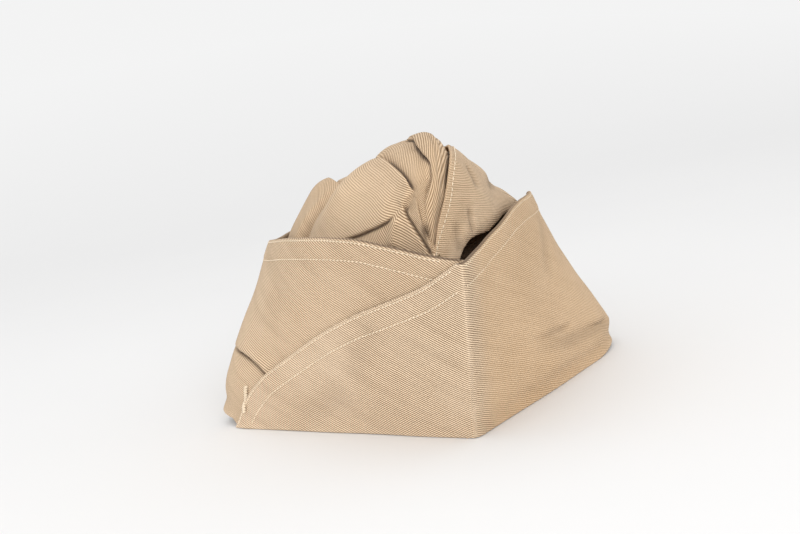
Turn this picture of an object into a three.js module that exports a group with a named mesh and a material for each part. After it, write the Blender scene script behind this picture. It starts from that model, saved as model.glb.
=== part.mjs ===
// A khaki garrison cap of cotton twill, opened out and resting on its rim.
// Millimetres, +Z up. The origin is the middle of the rim on the surface that it rests on, the
// front of the cap faces -Y and the wearer's left is +X.
import * as THREE from 'three';

// Rim and top edge of the turned-up band. Each is a pointed plan whose front and back corners are
// the creases. A rounding of 0 is a sharp diamond, and a large one is a smooth bow.
const RIM_HALF_LENGTH = 103.1;
const RIM_HALF_WIDTH_LEFT = 92.5;
const RIM_HALF_WIDTH_RIGHT = 97.2;
const RIM_ROUNDING_LEFT = 0.05;
const RIM_ROUNDING_RIGHT = 0.012;
const EDGE_HALF_LENGTH = 131.1;
const EDGE_HALF_WIDTH = 59.7;
const EDGE_ROUNDING = 1.04;
const BAND_HEIGHT_CREASE = 72.3;
const BAND_HEIGHT_SIDE = 83.8;
const BAND_THICKNESS = 1.6;
const CLOTH_GAP = 0.3;

// The crown: its two side panels and the insert between them along the top. CROWN_DEPTH is the depth
// of a panel's rim under the band's outer face.
const CROWN_THICKNESS = 1.2;
const CROWN_CLEARANCE = 0.6;
const CROWN_DEPTH = 2 * (BAND_THICKNESS + CLOTH_GAP) + CROWN_CLEARANCE;
const CROWN_HALF_LENGTH = 92;
const CROWN_HEIGHT = 112;
const INSERT_HALF_WIDTH = 16;
const INSERT_RAISE = 5.5;
const INSERT_FOLD = 3;

// The bulge of the wall above the rim, on each side of the cap.
const BULGE_RIGHT = 4;
const BULGE_LEFT = 4.6;
const BULGE_LEVEL_RIGHT = 0.29;
const BULGE_LEVEL_LEFT = 0.15;
const BULGE_FALL_RIGHT = 1;
const BULGE_FALL_LEFT = 2;

// How squarely the bulge, and the folds of the band and of the crown, end at the creases and seams.
const BULGE_SQUARENESS = 4;
const BAND_FOLD_SQUARENESS = 8;
const PANEL_FOLD_FADE = 0.25;

// The thread tack that fastens the lower end of the lap.
const TACK_LENGTH = 10;
const TACK_WIDTH = 1.4;
const TACK_THICKNESS = 0.7;
const TACK_HEIGHT = 13;
const TACK_BEYOND_LAP = 0.3;

// Sides by the sign of x: the wearer's left and right.
const LEFT = 1;
const RIGHT = -1;

// Height of the band's top edge on each side, between the crease height (0) and the side height
// (1), from the back crease (along -1) to the front crease (along 1).
const BAND_TOP_RISE = [
  { along: -1.0, left: 0.0, right: 0.0 },
  { along: -0.89, left: 0.15, right: 0.15 },
  { along: -0.5, left: 0.33, right: 0.33 },
  { along: -0.25, left: 0.22, right: 0.38 },
  { along: -0.1, left: 0.06, right: 0.52 },
  { along: 0.04, left: 0.3, right: 0.69 },
  { along: 0.18, left: 0.82, right: 0.84 },
  { along: 0.28, left: 0.93, right: 0.93 },
  { along: 0.5, left: 1.0, right: 1.0 },
  { along: 0.64, left: 0.9, right: 0.92 },
  { along: 0.75, left: 0.63, right: 0.65 },
  { along: 0.83, left: 0.41, right: 0.41 },
  { along: 0.9, left: 0.2, right: 0.2 },
  { along: 1.0, left: 0.0, right: 0.0 },
];

// The free edge of the lap on the right side: how far along it lies at each share of the height.
const LAP_EDGE = [
  { up: 0.0, along: 0.118 },
  { up: 0.13, along: 0.158 },
  { up: 0.28, along: 0.252 },
  { up: 0.4, along: 0.375 },
  { up: 0.56, along: 0.556 },
  { up: 0.68, along: 0.712 },
  { up: 0.82, along: 0.858 },
  { up: 0.92, along: 0.93 },
  { up: 1.0, along: 0.985 },
];

// The right band lies under the lap for this far past the lap's free edge, and comes out level
// with the lap over this much more, as shares of the rim's half length.
const UNDER_LAP_PAST = 0.05;
const UNDER_LAP_RISE = 0.35;

// Upper edge of each side panel from the front seam (u 0) to the back seam (u 1): y as a share of
// the crown's half length, z of its height and x of the insert's half width. A panel stands fuller
// there, out from the straight of its section, by the share full of its way to the rim.
const LEFT_RIDGE = [
  { u: 0.0, y: -1.0, z: 0.625, x: -0.17, full: 0.0 },
  { u: 0.05, y: -0.965, z: 0.74, x: 0.12, full: 0.0 },
  { u: 0.1, y: -0.925, z: 0.85, x: 0.5, full: 0.0 },
  { u: 0.16, y: -0.84, z: 0.965, x: 0.84, full: 0.0 },
  { u: 0.23, y: -0.67, z: 0.99, x: 1.02, full: 0.0 },
  { u: 0.33, y: -0.42, z: 0.975, x: 1.15, full: 0.0 },
  { u: 0.5, y: 0.0, z: 0.925, x: 1.1, full: 0.02 },
  { u: 0.7, y: 0.46, z: 0.855, x: 0.4, full: 0.0 },
  { u: 0.86, y: 0.82, z: 0.78, x: 0.2, full: 0.0 },
  { u: 0.95, y: 0.97, z: 0.69, x: 0.06, full: 0.0 },
  { u: 1.0, y: 1.0, z: 0.6, x: 0.0, full: 0.0 },
];
const RIGHT_RIDGE = [
  { u: 0.0, y: -1.0, z: 0.625, x: -0.17, full: 0.0 },
  { u: 0.05, y: -0.965, z: 0.74, x: -0.27, full: 0.0 },
  { u: 0.1, y: -0.94, z: 0.84, x: -0.31, full: 0.0 },
  { u: 0.16, y: -0.87, z: 0.9, x: -0.35, full: 0.0 },
  { u: 0.23, y: -0.68, z: 0.945, x: -0.42, full: 0.0 },
  { u: 0.33, y: -0.44, z: 0.972, x: -0.48, full: 0.0 },
  { u: 0.5, y: 0.0, z: 0.89, x: -0.8, full: 0.0 },
  { u: 0.58, y: 0.18, z: 0.86, x: -1.1, full: 0.05 },
  { u: 0.68, y: 0.42, z: 0.87, x: -1.4, full: 0.13 },
  { u: 0.8, y: 0.7, z: 0.8, x: -1.0, full: 0.04 },
  { u: 0.9, y: 0.89, z: 0.735, x: -0.5, full: 0.0 },
  { u: 1.0, y: 1.0, z: 0.6, x: 0.0, full: 0.0 },
];
const FULL_LEVEL = 12;
const FULL_RISE = 4;

// Over this share of a panel its thickness turns from across the seam to square to the cloth.
const SEAM_EASE = 0.12;

// Section of each side panel, from the rim (rise 0) to the ridge (rise 1): how much of the way out
// from the ridge to the rim it stands at each share of the height.
const LEFT_SECTION = [
  { rise: 0.0, reach: 1.0 },
  { rise: 0.25, reach: 0.82 },
  { rise: 0.5, reach: 0.64 },
  { rise: 0.67, reach: 0.5 },
  { rise: 0.75, reach: 0.42 },
  { rise: 0.82, reach: 0.33 },
  { rise: 0.9, reach: 0.21 },
  { rise: 0.96, reach: 0.1 },
  { rise: 1.0, reach: 0.0 },
];
const RIGHT_SECTION = [
  { rise: 0.0, reach: 1.0 },
  { rise: 0.25, reach: 0.82 },
  { rise: 0.5, reach: 0.64 },
  { rise: 0.67, reach: 0.47 },
  { rise: 0.75, reach: 0.39 },
  { rise: 0.82, reach: 0.33 },
  { rise: 0.9, reach: 0.235 },
  { rise: 0.96, reach: 0.11 },
  { rise: 1.0, reach: 0.0 },
];

// How much of its full raise the insert has over the ridge lines, and its long fold of its height,
// from its front point (u 0) to its back point (u 1).
const INSERT_SWELL = [
  { u: 0.0, swell: 0.0, fold: 0.0 },
  { u: 0.06, swell: 0.3, fold: 0.5 },
  { u: 0.16, swell: 0.9, fold: 1.0 },
  { u: 0.24, swell: 1.0, fold: 0.9 },
  { u: 0.5, swell: 0.7, fold: 0.2 },
  { u: 0.8, swell: 0.4, fold: 0.0 },
  { u: 1.0, swell: 0.0, fold: 0.0 },
];

// Where the insert's long fold runs across it (0 at the right ridge, 1 at the left) and how wide
// it is, as a share of the insert's width there.
const FOLD_ACROSS = 0.64;
const FOLD_SPREAD = 0.3;
const INSERT_POINT = 0.012;

// The rim stands off the surface a little where it turns at the middle of each side: where that
// is, how far it reaches along the rim, and by how much.
const RIM_LIFT = {
  left: { along: 0.05, reach: 0.25, lift: 2.2 },
  right: { along: -0.03, reach: 0.14, lift: 2.6 },
};

// Dents and folds, each a line from one place to another on its surface. Depth is in millimetres,
// inward when positive, and width is the distance over which the cloth recovers.
const RIGHT_PANEL_FOLDS = [
  { from: [0.3, 0.66], to: [0.12, 0.78], depth: 4.5, width: 7 },
  { from: [0.12, 0.78], to: [0.04, 0.9], depth: 3, width: 4 },
  { from: [0.3, 0.82], to: [0.5, 0.7], depth: -2, width: 12 },
  { from: [0.58, 0.95], to: [0.56, 0.62], depth: 4, width: 9 },
];
const LEFT_PANEL_FOLDS = [
  { from: [0.06, 0.92], to: [0.05, 0.6], depth: 1.2, width: 4 },
  { from: [0.27, 0.95], to: [0.33, 0.7], depth: 2, width: 6 },
  { from: [0.1, 0.52], to: [0.45, 0.6], depth: 4, width: 6 },
];
const RIGHT_BAND_FOLDS = [
  { from: [0.05, 0.39], to: [0.24, 0.29], depth: 1.6, width: 3.5 },
  { from: [-0.12, 0.28], to: [0.02, 0.12], depth: -1.4, width: 6 },
];
const LEFT_BAND_FOLDS = [
  { from: [0.02, 0.13], to: [0.83, 0.36], depth: 1.4, width: 6 },
];

// Numbers of steps over each piece, and the shares of its height at which its rows lie.
const BAND_STEPS = 30;
const LAP_STEPS = 14;
const BAND_LEVELS = [0, 0.1, 0.2, 0.3, 0.42, 0.56, 0.7, 0.85, 1];
const PANEL_STEPS = 32;
const PANEL_LEVELS = [0, 0.12, 0.25, 0.37, 0.5, 0.6, 0.68, 0.75, 0.81, 0.87, 0.92, 0.96, 1];
const INSERT_ACROSS = 8;
const TACK_STEPS = 6;

// Share of a surface over which its slopes are measured, and the least share of a way into the
// cloth that has to run square to it.
const SLOPE_STEP = 1e-3;
const SEAM_SLOPE_STEP = 0.01;
const LEAST_SQUARE = 0.2;

const CLOTH_COLOUR = 0xcbb08f;
const CLOTH_SHADE = 0xc2a887;
const THREAD_COLOUR = 0xe6d8bd;

function mix(a, b, share) {
  return a + (b - a) * share;
}

function clamp(value, low, high) {
  return Math.min(high, Math.max(low, value));
}

// Smooth reading of a table: a cubic through its rows that never overshoots them.
function read(table, key, column, at) {
  const last = table.length - 1;
  const x = table.map((row) => row[key]);
  const y = table.map((row) => row[column]);
  const place = clamp(at, x[0], x[last]);
  let i = 0;
  while (i < last - 1 && place > x[i + 1]) i += 1;
  const rate = (k) => (y[k + 1] - y[k]) / (x[k + 1] - x[k]);
  const slope = (k) => {
    if (k === 0) return rate(0);
    if (k === last) return rate(last - 1);
    const before = rate(k - 1);
    const after = rate(k);
    return before * after <= 0 ? 0 : (2 * before * after) / (before + after);
  };
  const span = x[i + 1] - x[i];
  const s = (place - x[i]) / span;
  const start = y[i] * (1 + 2 * s) * (1 - s) ** 2 + slope(i) * span * s * (1 - s) ** 2;
  const end = y[i + 1] * s * s * (3 - 2 * s) - slope(i + 1) * span * s * s * (1 - s);
  return start + end;
}

// Half width of a pointed plan at a share of its half length, 1 in the middle and 0 at its ends.
function planShare(along, rounding) {
  const tip = Math.sqrt(1 + rounding);
  return (tip - Math.sqrt(along * along + rounding)) / (tip - Math.sqrt(rounding));
}

// Distance from a place to a fold's line, in millimetres, with the surface's own size.
function foldDistance(place, fold, size) {
  const a = new THREE.Vector2(fold.from[0] * size[0], fold.from[1] * size[1]);
  const b = new THREE.Vector2(fold.to[0] * size[0], fold.to[1] * size[1]);
  const p = new THREE.Vector2(place[0] * size[0], place[1] * size[1]);
  const along = b.clone().sub(a);
  const share = clamp(p.clone().sub(a).dot(along) / along.lengthSq(), 0, 1);
  return p.distanceTo(a.addScaledVector(along, share));
}

// Sum of the folds at a place: each is a smooth trough, or a ridge where its depth is negative.
function foldDepth(place, folds, size) {
  return folds.reduce((sum, fold) => {
    const share = foldDistance(place, fold, size) / fold.width;
    return sum + fold.depth * Math.exp(-share * share);
  }, 0);
}

function bandTop(side, along) {
  const rise = read(BAND_TOP_RISE, 'along', side === LEFT ? 'left' : 'right', along);
  return mix(BAND_HEIGHT_CREASE, BAND_HEIGHT_SIDE, rise);
}

function rimHeight(side, along) {
  const rise = side === LEFT ? RIM_LIFT.left : RIM_LIFT.right;
  const share = clamp((along - rise.along) / rise.reach, -1, 1);
  return rise.lift * (1 - share * share) ** 2;
}

// A place on the band's outer face: along runs from 1 at the front crease to -1 at the back one,
// and up from 0 at the rim to 1 at the top edge.
function bandFace(side, alongAny, upAny) {
  const along = clamp(alongAny, -1, 1);
  const up = clamp(upAny, 0, 1);
  const peak = side === LEFT ? BULGE_LEVEL_LEFT : BULGE_LEVEL_RIGHT;
  const level = up < peak ? up / peak : (1 - up) / (1 - peak);
  const isLeft = side === LEFT;
  const swell = level * level * (3 - 2 * level);
  const bulge = isLeft ? BULGE_LEFT * swell ** BULGE_FALL_LEFT : BULGE_RIGHT * swell ** BULGE_FALL_RIGHT;
  const rim = isLeft
    ? RIM_HALF_WIDTH_LEFT * planShare(along, RIM_ROUNDING_LEFT)
    : RIM_HALF_WIDTH_RIGHT * planShare(along, RIM_ROUNDING_RIGHT);
  const edge = EDGE_HALF_WIDTH * planShare(along, EDGE_ROUNDING);
  const halfLength = mix(RIM_HALF_LENGTH, EDGE_HALF_LENGTH, up);
  const x = mix(rim, edge, up) + bulge * (1 - Math.abs(along) ** BULGE_SQUARENESS);
  return new THREE.Vector3(side * x, -halfLength * along, mix(rimHeight(side, along), bandTop(side, along), up));
}

// Unit normal of a face by differences, on the side that outward points to.
function faceNormal(face, a, b, outward) {
  const da = face(a + SLOPE_STEP, b).sub(face(a - SLOPE_STEP, b));
  const db = face(a, b + SLOPE_STEP).sub(face(a, b - SLOPE_STEP));
  const normal = da.cross(db).normalize();
  return normal.dot(outward) < 0 ? normal.negate() : normal;
}

// Moves a point into the cloth along a way, by a depth measured square to the cloth.
function inset(point, normal, way, depth) {
  return point.clone().addScaledVector(way, -depth / Math.max(LEAST_SQUARE, way.dot(normal)));
}

// A normal with shares of its x and z: none of its x on a seam, none of its z on a level edge.
function slid(normal, shareX, shareZ) {
  return new THREE.Vector3(normal.x * shareX, normal.y, normal.z * shareZ);
}

// The band at a depth under its outer face, with level edges and a mitre at both creases. Half the
// back seam's gap lies on each side of it.
function bandPoint(side, along, up, depth, folds) {
  const face = (a, b) => bandFace(side, a, b);
  const normal = faceNormal(face, along, up, new THREE.Vector3(side, 0, 0));
  const size = [RIM_HALF_LENGTH, BAND_HEIGHT_CREASE];
  const free = Math.sin(Math.PI * up) * (1 - Math.abs(along) ** BAND_FOLD_SQUARENESS);
  const fold = free * foldDepth([along, up], folds, size);
  const way = slid(normal, Math.abs(along) === 1 ? 0 : 1, 0);
  const point = inset(face(along, up), normal, way, depth + fold);
  point.x += mix(0, (side * CLOTH_GAP) / 2, (1 - along) / 2);
  return point;
}

// Even steps from one crease to the other, closer together in the middle where the plan turns.
function spreadAlong(share) {
  const even = 1 - 2 * share;
  return (even * (1 + Math.abs(even))) / 2;
}

// A closed sheet of cloth between two grids of points with the same rows and columns.
function clothSheet(outer, inner) {
  const rows = outer.length;
  const columns = outer[0].length;
  const at = (layer, r, c) => (layer * rows + r) * columns + c;
  const index = [];
  const quad = (a, b, c, d) => index.push(a, b, c, a, c, d);
  for (let r = 0; r < rows - 1; r += 1) {
    for (let c = 0; c < columns - 1; c += 1) {
      quad(at(0, r, c), at(0, r, c + 1), at(0, r + 1, c + 1), at(0, r + 1, c));
      quad(at(1, r, c), at(1, r + 1, c), at(1, r + 1, c + 1), at(1, r, c + 1));
    }
    const end = columns - 1;
    quad(at(0, r, 0), at(0, r + 1, 0), at(1, r + 1, 0), at(1, r, 0));
    quad(at(0, r, end), at(1, r, end), at(1, r + 1, end), at(0, r + 1, end));
  }
  for (let c = 0; c < columns - 1; c += 1) {
    const end = rows - 1;
    quad(at(0, 0, c), at(1, 0, c), at(1, 0, c + 1), at(0, 0, c + 1));
    quad(at(0, end, c), at(0, end, c + 1), at(1, end, c + 1), at(1, end, c));
  }
  return facingOut([...outer.flat(), ...inner.flat()], index);
}

// A geometry from points and triangles, turned so that it encloses a positive volume.
function facingOut(points, index) {
  let volume = 0;
  for (let i = 0; i < index.length; i += 3) {
    const [a, b, c] = [points[index[i]], points[index[i + 1]], points[index[i + 2]]];
    volume += a.dot(b.clone().cross(c));
  }
  const geometry = new THREE.BufferGeometry().setFromPoints(points);
  geometry.setIndex(volume < 0 ? index.slice().reverse() : index);
  geometry.computeVertexNormals();
  return geometry;
}

function piece(name, geometry, colour) {
  const material = new THREE.MeshStandardMaterial({ color: colour, roughness: 0.9, metalness: 0 });
  const mesh = new THREE.Mesh(geometry, material);
  mesh.name = name;
  return mesh;
}

function shares(count) {
  return Array.from({ length: count + 1 }, (_, i) => i / count);
}

function lapEdge(up) {
  return read(LAP_EDGE, 'up', 'along', up);
}

// The left band runs from the lap's slanting free edge on the right side round the front crease
// and along the left side to the back crease.
function leftBand() {
  const layer = (depth) => BAND_LEVELS.map((up) => {
    const lap = shares(LAP_STEPS).slice(0, -1)
      .map((share) => bandPoint(RIGHT, mix(lapEdge(up), 1, share), up, depth, []));
    const wall = shares(BAND_STEPS)
      .map((share) => bandPoint(LEFT, spreadAlong(share), up, depth, LEFT_BAND_FOLDS));
    return [...lap, ...wall];
  });
  return clothSheet(layer(0), layer(BAND_THICKNESS));
}

// Depth of the right band's outer face under the lap's outer face.
function underLap(along, up) {
  const past = along - lapEdge(up) + UNDER_LAP_PAST + UNDER_LAP_RISE;
  const share = clamp(past / UNDER_LAP_RISE, 0, 1);
  return (BAND_THICKNESS + CLOTH_GAP) * share * share * (3 - 2 * share);
}

// The right band lies under the lap and comes out level with the left band at the back.
function rightBand() {
  const layer = (depth) => BAND_LEVELS.map((up) => shares(BAND_STEPS).map((share) => {
    const along = spreadAlong(share);
    return bandPoint(RIGHT, along, up, underLap(along, up) + depth, RIGHT_BAND_FOLDS);
  }));
  return clothSheet(layer(0), layer(BAND_THICKNESS));
}

// The tack is a flat pad of thread on the right band, beside the lower end of the lap's free edge.
function tack() {
  const middle = TACK_HEIGHT / BAND_HEIGHT_SIDE;
  const half = TACK_LENGTH / 2 / BAND_HEIGHT_SIDE;
  const along = lapEdge(middle - half) - (TACK_BEYOND_LAP + TACK_WIDTH / 2) / RIM_HALF_LENGTH;
  const layer = (height) => shares(TACK_STEPS).map((share) => {
    const up = mix(middle - half, middle + half, share);
    return [-1, 0, 1].map((across) => {
      const place = along + (across * TACK_WIDTH) / 2 / RIM_HALF_LENGTH;
      const rise = CLOTH_GAP + height * (1 - Math.abs(across) / 2);
      return bandPoint(RIGHT, place, up, underLap(place, up) - rise, RIGHT_BAND_FOLDS);
    });
  });
  return clothSheet(layer(TACK_THICKNESS), layer(0));
}

// A place on the line where a side panel meets the insert.
function ridge(table, u) {
  return new THREE.Vector3(
    INSERT_HALF_WIDTH * read(table, 'u', 'x', u),
    CROWN_HALF_LENGTH * read(table, 'u', 'y', u),
    CROWN_HEIGHT * read(table, 'u', 'z', u),
  );
}

// A place on a side panel's outer face: u runs from the front seam (0) to the back seam (1), and
// rise from the rim (0) to the ridge line (1).
function panelFace(side, uAny, riseAny) {
  const u = clamp(uAny, 0, 1);
  const rise = clamp(riseAny, 0, 1);
  const foot = bandPoint(side, spreadAlong(u), 0, CROWN_DEPTH, []);
  const line = side === LEFT ? LEFT_RIDGE : RIGHT_RIDGE;
  const section = side === LEFT ? LEFT_SECTION : RIGHT_SECTION;
  const top = ridge(line, u);
  const full = read(line, 'u', 'full', u) * FULL_LEVEL * rise ** FULL_RISE * (1 - rise);
  const reach = read(section, 'rise', 'reach', rise) + full;
  return new THREE.Vector3(
    mix(top.x, foot.x, reach),
    mix(top.y, foot.y, reach),
    mix(foot.z, top.z, rise),
  );
}

// A crown panel at a depth under its outer face, with half a seam's gap at the front and back.
function panelPoint(side, u, rise, depth) {
  const face = (a, b) => panelFace(side, a, b);
  const folds = side === LEFT ? LEFT_PANEL_FOLDS : RIGHT_PANEL_FOLDS;
  const normal = faceNormal(face, u, rise, new THREE.Vector3(side, 0, 1));
  const free = Math.sin(Math.PI * Math.sqrt(rise)) * Math.sin(Math.PI * u) ** PANEL_FOLD_FADE;
  const size = [2 * CROWN_HALF_LENGTH, CROWN_HEIGHT];
  const fold = free * foldDepth([u, rise], folds, size);
  const shareX = Math.min(1, u / SEAM_EASE, (1 - u) / SEAM_EASE);
  const ease = Math.min(1, (1 - rise) / SEAM_EASE);
  const way = insertWay(u).lerp(slid(normal, shareX, rise === 0 ? 0 : 1), ease);
  const point = inset(face(u, rise), normal, way, depth + fold);
  point.x += (side * CLOTH_GAP) / 2;
  return point;
}

function sidePanel(side) {
  const layer = (depth) => PANEL_LEVELS
    .map((rise) => shares(PANEL_STEPS).map((u) => panelPoint(side, u, rise, depth)));
  return clothSheet(layer(0), layer(CROWN_THICKNESS));
}

// A place on the insert's outer face: u runs from its front point to its back point, and across
// from the right ridge line (0) to the left one (1). It swells between them and carries the fold.
function insertFace(uAny, acrossAny) {
  const u = clamp(uAny, 0, 1);
  const across = clamp(acrossAny, 0, 1);
  const right = ridge(RIGHT_RIDGE, u);
  const left = ridge(LEFT_RIDGE, u);
  right.x += CLOTH_GAP / 2;
  left.x -= CLOTH_GAP / 2;
  const fold = Math.max(0, 1 - ((across - FOLD_ACROSS) / FOLD_SPREAD) ** 2);
  const raise = INSERT_RAISE * read(INSERT_SWELL, 'u', 'swell', u) * 4 * across * (1 - across)
    + INSERT_FOLD * read(INSERT_SWELL, 'u', 'fold', u) * fold * fold;
  return right.lerp(left, across).addScaledVector(insertWay(u), raise);
}

// The way out of the cap in the upright plane along its middle, square to the ridge lines.
function insertWay(u) {
  const middle = (at) => ridge(LEFT_RIDGE, at).add(ridge(RIGHT_RIDGE, at));
  const run = middle(Math.min(1, u + SEAM_SLOPE_STEP)).sub(middle(Math.max(0, u - SEAM_SLOPE_STEP)));
  return new THREE.Vector3(0, -run.z, run.y).normalize();
}

function insertSheet() {
  const ends = [INSERT_POINT, ...shares(PANEL_STEPS).slice(1, -1), 1 - INSERT_POINT];
  const layer = (depth) => ends.map((u) => {
    const way = insertWay(u);
    return shares(INSERT_ACROSS)
      .map((across) => insertFace(u, across).addScaledVector(way, -depth));
  });
  return clothSheet(layer(0), layer(CROWN_THICKNESS));
}

const cap = new THREE.Group();
cap.add(piece('curtain_left', leftBand(), CLOTH_COLOUR));
cap.add(piece('curtain_right', rightBand(), CLOTH_COLOUR));
cap.add(piece('crown_left', sidePanel(LEFT), CLOTH_SHADE));
cap.add(piece('crown_right', sidePanel(RIGHT), CLOTH_SHADE));
cap.add(piece('crown_gusset', insertSheet(), CLOTH_SHADE));
cap.add(piece('bar_tack', tack(), THREAD_COLOUR));

export default cap;
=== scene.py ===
"""A khaki garrison cap of cotton twill, resting on its rim on a pale studio floor.

The cloth pieces are surfaces worked out with numpy in millimetres from the cap's own sizes, and are
put into meshes in metres. Left and right are the wearer's: the wearer's left is +X, the front -Y.
"""
import logging
from collections.abc import Callable
from dataclasses import dataclass, field
from enum import Enum

import bpy
import numpy as np
from mathutils import Matrix, Vector
from numpy.typing import NDArray


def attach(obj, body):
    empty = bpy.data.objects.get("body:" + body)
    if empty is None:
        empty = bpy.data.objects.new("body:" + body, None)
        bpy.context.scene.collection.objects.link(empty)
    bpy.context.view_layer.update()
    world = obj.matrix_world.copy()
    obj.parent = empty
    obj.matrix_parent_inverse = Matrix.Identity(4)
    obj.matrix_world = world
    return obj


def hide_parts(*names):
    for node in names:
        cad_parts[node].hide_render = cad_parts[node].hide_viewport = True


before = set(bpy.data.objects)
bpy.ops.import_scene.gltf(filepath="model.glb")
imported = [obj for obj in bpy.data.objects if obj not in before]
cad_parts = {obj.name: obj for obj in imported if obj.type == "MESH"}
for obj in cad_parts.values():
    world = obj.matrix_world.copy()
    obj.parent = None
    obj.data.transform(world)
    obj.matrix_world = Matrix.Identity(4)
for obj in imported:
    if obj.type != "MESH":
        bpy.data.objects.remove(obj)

Array = NDArray[np.float64]
Row = tuple[float, ...]
Surface = Callable[[Array, Array], Array]

LOG = logging.getLogger("garrison_cap")
MILLIMETRE = 0.001


class Side(Enum):
    """A side of the cap, with the sign of its x."""

    LEFT = 1
    RIGHT = -1


class Slot(Enum):
    """The record's material slots."""

    TWILL = "twill"
    THREAD = "thread"


def mix(a: Array, b: Array, share: Array) -> Array:
    """Return the place between a and b at a share between 0 and 1."""
    return a + (b - a) * share


def smooth(share: Array) -> Array:
    """Return the smooth step 3s² − 2s³ of a share, held at 0 and 1 beyond them."""
    held = np.clip(share, 0.0, 1.0)
    return held * held * (3.0 - 2.0 * held)


def unit(vectors: Array) -> Array:
    """Return vectors scaled to length 1."""
    return vectors / np.maximum(np.linalg.norm(vectors, axis=-1, keepdims=True), 1e-12)


def dot(a: Array, b: Array) -> Array:
    """Return the dot products of two arrays of vectors."""
    return (a * b).sum(-1)


def bell(distance: Array, reach: float) -> Array:
    """Return exp(−(distance/reach)²), which falls from 1 at a distance of 0."""
    return np.exp(-((distance / reach) ** 2))


@dataclass(frozen=True)
class Curve:
    """A smooth line through the rows of a table that never overshoots them.

    Between two rows it is a cubic, and its slope at a row is the harmonic mean of the rates on
    both sides of the row, or 0 where they differ in sign.
    """

    rows: tuple[Row, ...]

    def at(self, place: Array) -> Array:
        """Read the line.

        Args:
            place: places along the table's first column, held within it.

        Returns:
            The values of its second column there.
        """
        knots, values = np.array(self.rows, float).T
        rate = np.diff(values) / np.diff(knots)
        both = np.where(rate[:-1] * rate[1:] > 0, rate[:-1] + rate[1:], np.inf)
        slope = np.concatenate([rate[:1], 2.0 * rate[:-1] * rate[1:] / both, rate[-1:]])
        x = np.clip(place, knots[0], knots[-1])
        i = np.clip(np.searchsorted(knots, x, side="left") - 1, 0, len(rate) - 1)
        span = knots[i + 1] - knots[i]
        s = (x - knots[i]) / span
        start = values[i] * (1 + 2 * s) * (1 - s) ** 2 + slope[i] * span * s * (1 - s) ** 2
        end = values[i + 1] * s * s * (3 - 2 * s) - slope[i + 1] * span * s * s * (1 - s)
        return start + end


def column(rows: tuple[Row, ...], index: int) -> Curve:
    """Return the smooth line of one column of a table over its first column."""
    return Curve(tuple((row[0], row[index]) for row in rows))


def normals(surface: Surface, a: Array, b: Array, outward: Row, step: float = 1e-3) -> Array:
    """Work out unit normals by central differences.

    Args:
        surface: the surface, a function of two parameters.
        a: places in its first parameter.
        b: places in its second parameter.
        outward: a direction that the normals side with.
        step: the difference in each parameter.

    Returns:
        The unit normals.
    """
    a, b = np.broadcast_arrays(a, b)
    a = np.clip(a, step, 1.0 - step) if a.min() >= 0 else np.clip(a, -1 + step, 1.0 - step)
    b = np.clip(b, step, 1.0 - step)
    da = surface(a + step, b) - surface(a - step, b)
    db = surface(a, b + step) - surface(a, b - step)
    n = unit(np.cross(da, db))
    return np.where((n @ np.asarray(outward, float))[..., None] < 0, -n, n)


@dataclass(frozen=True)
class Near:
    """How points lie by a line on a surface: distance to its left, share of its length, ways."""

    left: Array
    gap: Array
    share: Array
    across: Array
    length: float


@dataclass(frozen=True)
class Trail:
    """A line on a surface, through places in its two parameters."""

    places: tuple[Row, ...]
    steps: int = 22

    def points(self) -> tuple[Array, Array]:
        """Read the trail at even steps of its smooth line.

        Returns:
            The two parameters.
        """
        knots = np.linspace(0.0, 1.0, len(self.places))
        rows = tuple((k, *place) for k, place in zip(knots, self.places))
        even = np.linspace(0.0, 1.0, self.steps + 1)
        return column(rows, 1).at(even), column(rows, 2).at(even)

    def near(self, surface: Surface, points: Array, normal: Array) -> Near:
        """Measure how points lie by this trail, in space.

        For each straight step of the trail the nearest place is the foot of the perpendicular,
        held within the step, and the step with the shortest distance is kept. Left is the side
        that the normal × the trail's direction points to.

        Args:
            surface: the surface that the trail lies on.
            points: points on the surface.
            normal: the surface's normals at them.

        Returns:
            The distances, shares and ways.
        """
        line = surface(*self.points())
        lengths = np.linalg.norm(np.diff(line, axis=0), axis=-1)
        run = np.concatenate([[0.0], np.cumsum(lengths)])
        best = np.full(points.shape[:-1], np.inf)
        left = np.zeros_like(best)
        share = np.zeros_like(best)
        across = np.zeros_like(points)
        for k, length in enumerate(lengths):
            way = (line[k + 1] - line[k]) / length
            offset = points - line[k]
            foot = np.clip(offset @ way, 0.0, length)
            away = offset - foot[..., None] * way
            gap = np.linalg.norm(away, axis=-1)
            nearer = gap < best
            leftward = unit(np.cross(normal, way))
            best = np.where(nearer, gap, best)
            left = np.where(nearer, np.sign(dot(away, leftward)) * gap, left)
            share = np.where(nearer, (run[k] + foot) / run[-1], share)
            across = np.where(nearer[..., None], leftward, across)
        return Near(left, best, share, across, float(run[-1]))


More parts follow.
